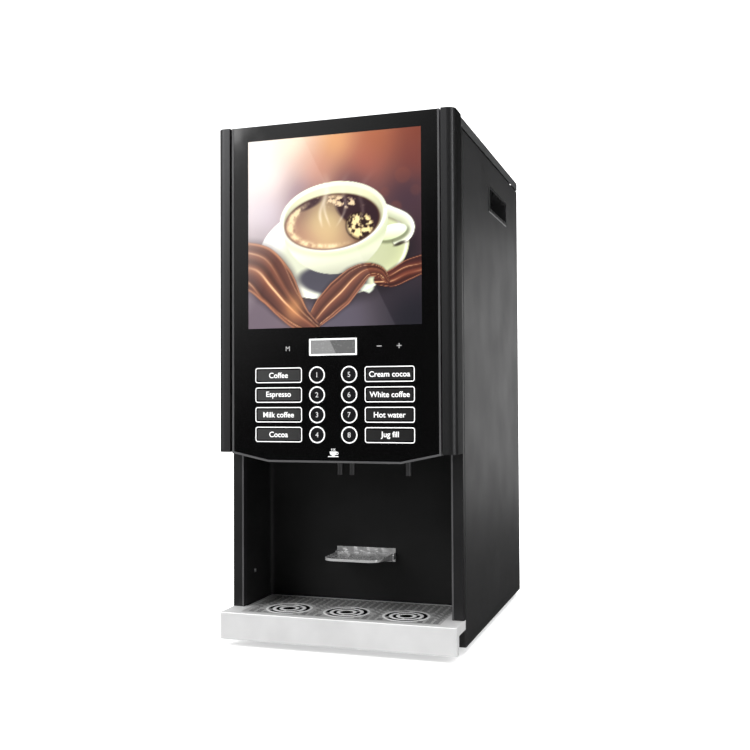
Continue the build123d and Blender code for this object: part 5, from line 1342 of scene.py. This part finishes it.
inlet_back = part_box("water_inlet_valve")[1].y
inlet_x, inlet_z = fan_x, 70 * MM
thread, sockets = nodes_tree("pipe_thread", "radius", "pitch", "length", "depth")
turns = maths(thread, "DIVIDE", sockets["length"], sockets["pitch"])
helix = add(
    thread, "GeometryNodeCurveSpiral", Resolution=40, Rotations=turns, Start_Radius=sockets["radius"],
    End_Radius=sockets["radius"], Height=sockets["length"],
)
ridge = add(thread, "GeometryNodeCurvePrimitiveCircle", Resolution=6, Radius=sockets["depth"])
coil = add(thread, "GeometryNodeCurveToMesh", Curve=helix, Profile_Curve=ridge, Fill_Caps=True)
coil = add(thread, "GeometryNodeTransform", Geometry=coil, Rotation=(-math.pi / 2, 0, 0))
spot = add(thread, "GeometryNodeMeshToPoints", Mesh=sockets["Geometry"])
close(thread, add(thread, "GeometryNodeInstanceOnPoints", Points=spot, Instance=coil), sockets["Material"])
brass = polished("nickelled_brass", (0.66, 0.58, 0.42), 0.24, 0.006, 0.00003)
inlet_thread = grow(
    "inlet_thread", [(inlet_x, inlet_back - 13 * MM, inlet_z)], thread, brass,
    radius=12.9 * MM, pitch=1.8 * MM, length=12 * MM, depth=0.75 * MM,
)
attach(inlet_thread, "cabinet")
dress(brass, "water_inlet_valve")
dress(moulded("black_inlet_plastic", (0.012, 0.012, 0.012), 0.36, 0.0007, 0.00002), "power_inlet")
dress(moulded("rocker_plastic", (0.016, 0.016, 0.017), 0.28, 0.0007, 0.00001), "power_rocker")
dress(moulded("black_fan_plastic", (0.015, 0.015, 0.015), 0.5, 0.0008, 0.00003), "fan_housing", "fan_rotor")
hinge_zinc = polished("zinc_plated_hinge", (0.60, 0.60, 0.61), 0.32, 0.02, 0.00004)
dress(hinge_zinc, "hinge_leaves", "lid_hinge_leaves", "door_hinge_pins")

# ---- Back of the door ------------------------------------------------------------------------
# A vented cover closes the door; screws hold it. Behind it sit the picture's light box, the
# display, the key board and the lock.
cover_low, cover_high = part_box("door_back_cover")
cover_edge, cover_foot, cover_head = 6 * MM, 35 * MM, 20 * MM
cover_spots = [
    (side * (cover_high.x - cover_edge), cover_high.y, z)
    for side in (-1, 1) for z in np.linspace(cover_low.z + cover_foot, cover_high.z - cover_head, 6)
]
cover_screws = grow(
    "door_screws", cover_spots, screws, screw_steel, radius=2.6 * MM, turn_x=-math.pi / 2, turn_z=0.0
)
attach(cover_screws, "door")
lock_chrome = polished("chromed_lock", (0.72, 0.72, 0.73), 0.16, 0.01, 0.00002)
dress(lock_chrome, "lock_barrel", "lock_cam")
dress(moulded("white_light_box", (0.75, 0.75, 0.73), 0.5), "lightbox", "poster")
dress(moulded("display_module", (0.02, 0.025, 0.022), 0.4), "display")

# ---- Circuit boards --------------------------------------------------------------------------
# Green fibreglass boards with tracks under the varnish. The control board stands on the right
# side panel and carries its relays, transformer and a row of plugs.
board_green, board_tree, board_shader, board_coords = shading(
    "circuit_board_green", (0.012, 0.075, 0.035), 0.32, Coat_Weight=0.5, Coat_Roughness=0.1
)
tracks = board_tree.nodes.new("ShaderNodeTexBrick")
tracks.inputs["Scale"].default_value = 160
tracks.inputs["Mortar Size"].default_value = 0.03
tracks.inputs["Color1"].default_value = (0.010, 0.065, 0.030, 1)
tracks.inputs["Color2"].default_value = (0.014, 0.085, 0.040, 1)
tracks.inputs["Mortar"].default_value = (0.035, 0.16, 0.075, 1)
board_tree.links.new(board_coords, tracks.inputs["Vector"])
board_tree.links.new(tracks.outputs["Color"], board_shader.inputs["Base Color"])
relief(board_tree, tracks.outputs["Fac"], board_shader, 0.00003)
spread(board_tree, grain(board_tree, board_coords, 0.003), board_shader.inputs["Roughness"], 0.26, 0.4)
dress(board_green, "key_board", "control_board")
board_low, board_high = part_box("control_board")
board_face = board_high.x - 10.6 * MM
chip_boxes = []
for column in range(9):
    z = board_low.z + (16 + 11 * column) * MM
    y = board_low.y + 12 * MM
    chip_boxes.append(((board_face - 9 * MM, y, z), (board_face, y + 7 * MM, z + 8.5 * MM)))
for column in range(6):
    y, z = board_low.y + (60 + 15 * column) * MM, board_low.z + 8 * MM
    chip_boxes.append(((board_face - 3.2 * MM, y, z), (board_face, y + 9 * MM, z + 5 * MM)))
plugs = slabs("board_plugs", chip_boxes, moulded("cream_plug", (0.55, 0.52, 0.42), 0.45), 0.4 * MM)
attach(plugs, "cabinet")

# ---- Powder canisters and their works --------------------------------------------------------
# Clear polycarbonate hoppers with black lids and chutes. A stainless wire auger lies in each
# trough and a geared motor drives it from behind.


def clear_plastic(name, colour, clearness, roughness):
    """Smoky see-through plastic, a little scratched."""
    made, tree, shader, coords = shading(name, colour, roughness, Transmission_Weight=clearness, IOR=1.2)
    scratches = grain(tree, coords, 0.002, 4.0)
    spread(tree, scratches, shader.inputs["Roughness"], roughness * 0.8, roughness * 1.6)
    relief(tree, grain(tree, coords, 0.03, 2.0), shader, 0.0001)
    return made


dress(clear_plastic("clear_canister", (0.88, 0.90, 0.92), 0.85, 0.12), "canisters")
dress(moulded("black_canister_plastic", (0.016, 0.016, 0.017), 0.36), "canister_lids", "canister_chutes")
auger_steel = polished("auger_wire_steel", (0.70, 0.70, 0.70), 0.22, 0.004, 0.00002)
dress(auger_steel, "coffee_auger", "milk_auger", "cocoa_auger")
dress(polished("motor_can_steel", (0.48, 0.48, 0.49), 0.34, 0.02, 0.00002), "drive_motors")
dress(clear_plastic("amber_bowl_plastic", (0.62, 0.56, 0.46), 0.35, 0.25), "mixing_bowls")
dress(moulded("white_whipper_plastic", (0.70, 0.70, 0.68), 0.35), "left_whipper", "right_whipper")

# ---- Boiler, valves, hoses and power supply --------------------------------------------------
# A welded stainless tank with a flanged lid. Black solenoid valves stand on the lid, and milky
# silicone hoses run from them to the bowls and the hot water nozzle.
boiler_steel = brushed("boiler_steel", (0.62, 0.62, 0.62), 0.36)
dress(boiler_steel, "boiler_tank", "boiler_lid")
dress(moulded("black_valve_plastic", (0.020, 0.020, 0.022), 0.42), "boiler_valves")
silicone, silicone_tree, silicone_shader, silicone_coords = shading(
    "milky_silicone", (0.80, 0.79, 0.76), 0.38, Subsurface_Weight=0.3, Subsurface_Scale=0.002
)
silicone_cloud = grain(silicone_tree, silicone_coords, 0.01)
relief(silicone_tree, grain(silicone_tree, silicone_coords, 0.001), silicone_shader, 0.00003)
spread(silicone_tree, silicone_cloud, silicone_shader.inputs["Roughness"], 0.32, 0.46)
dress(silicone, "hoses")
dress(brushed("galvanised_case", (0.50, 0.51, 0.52), 0.42), "power_supply")
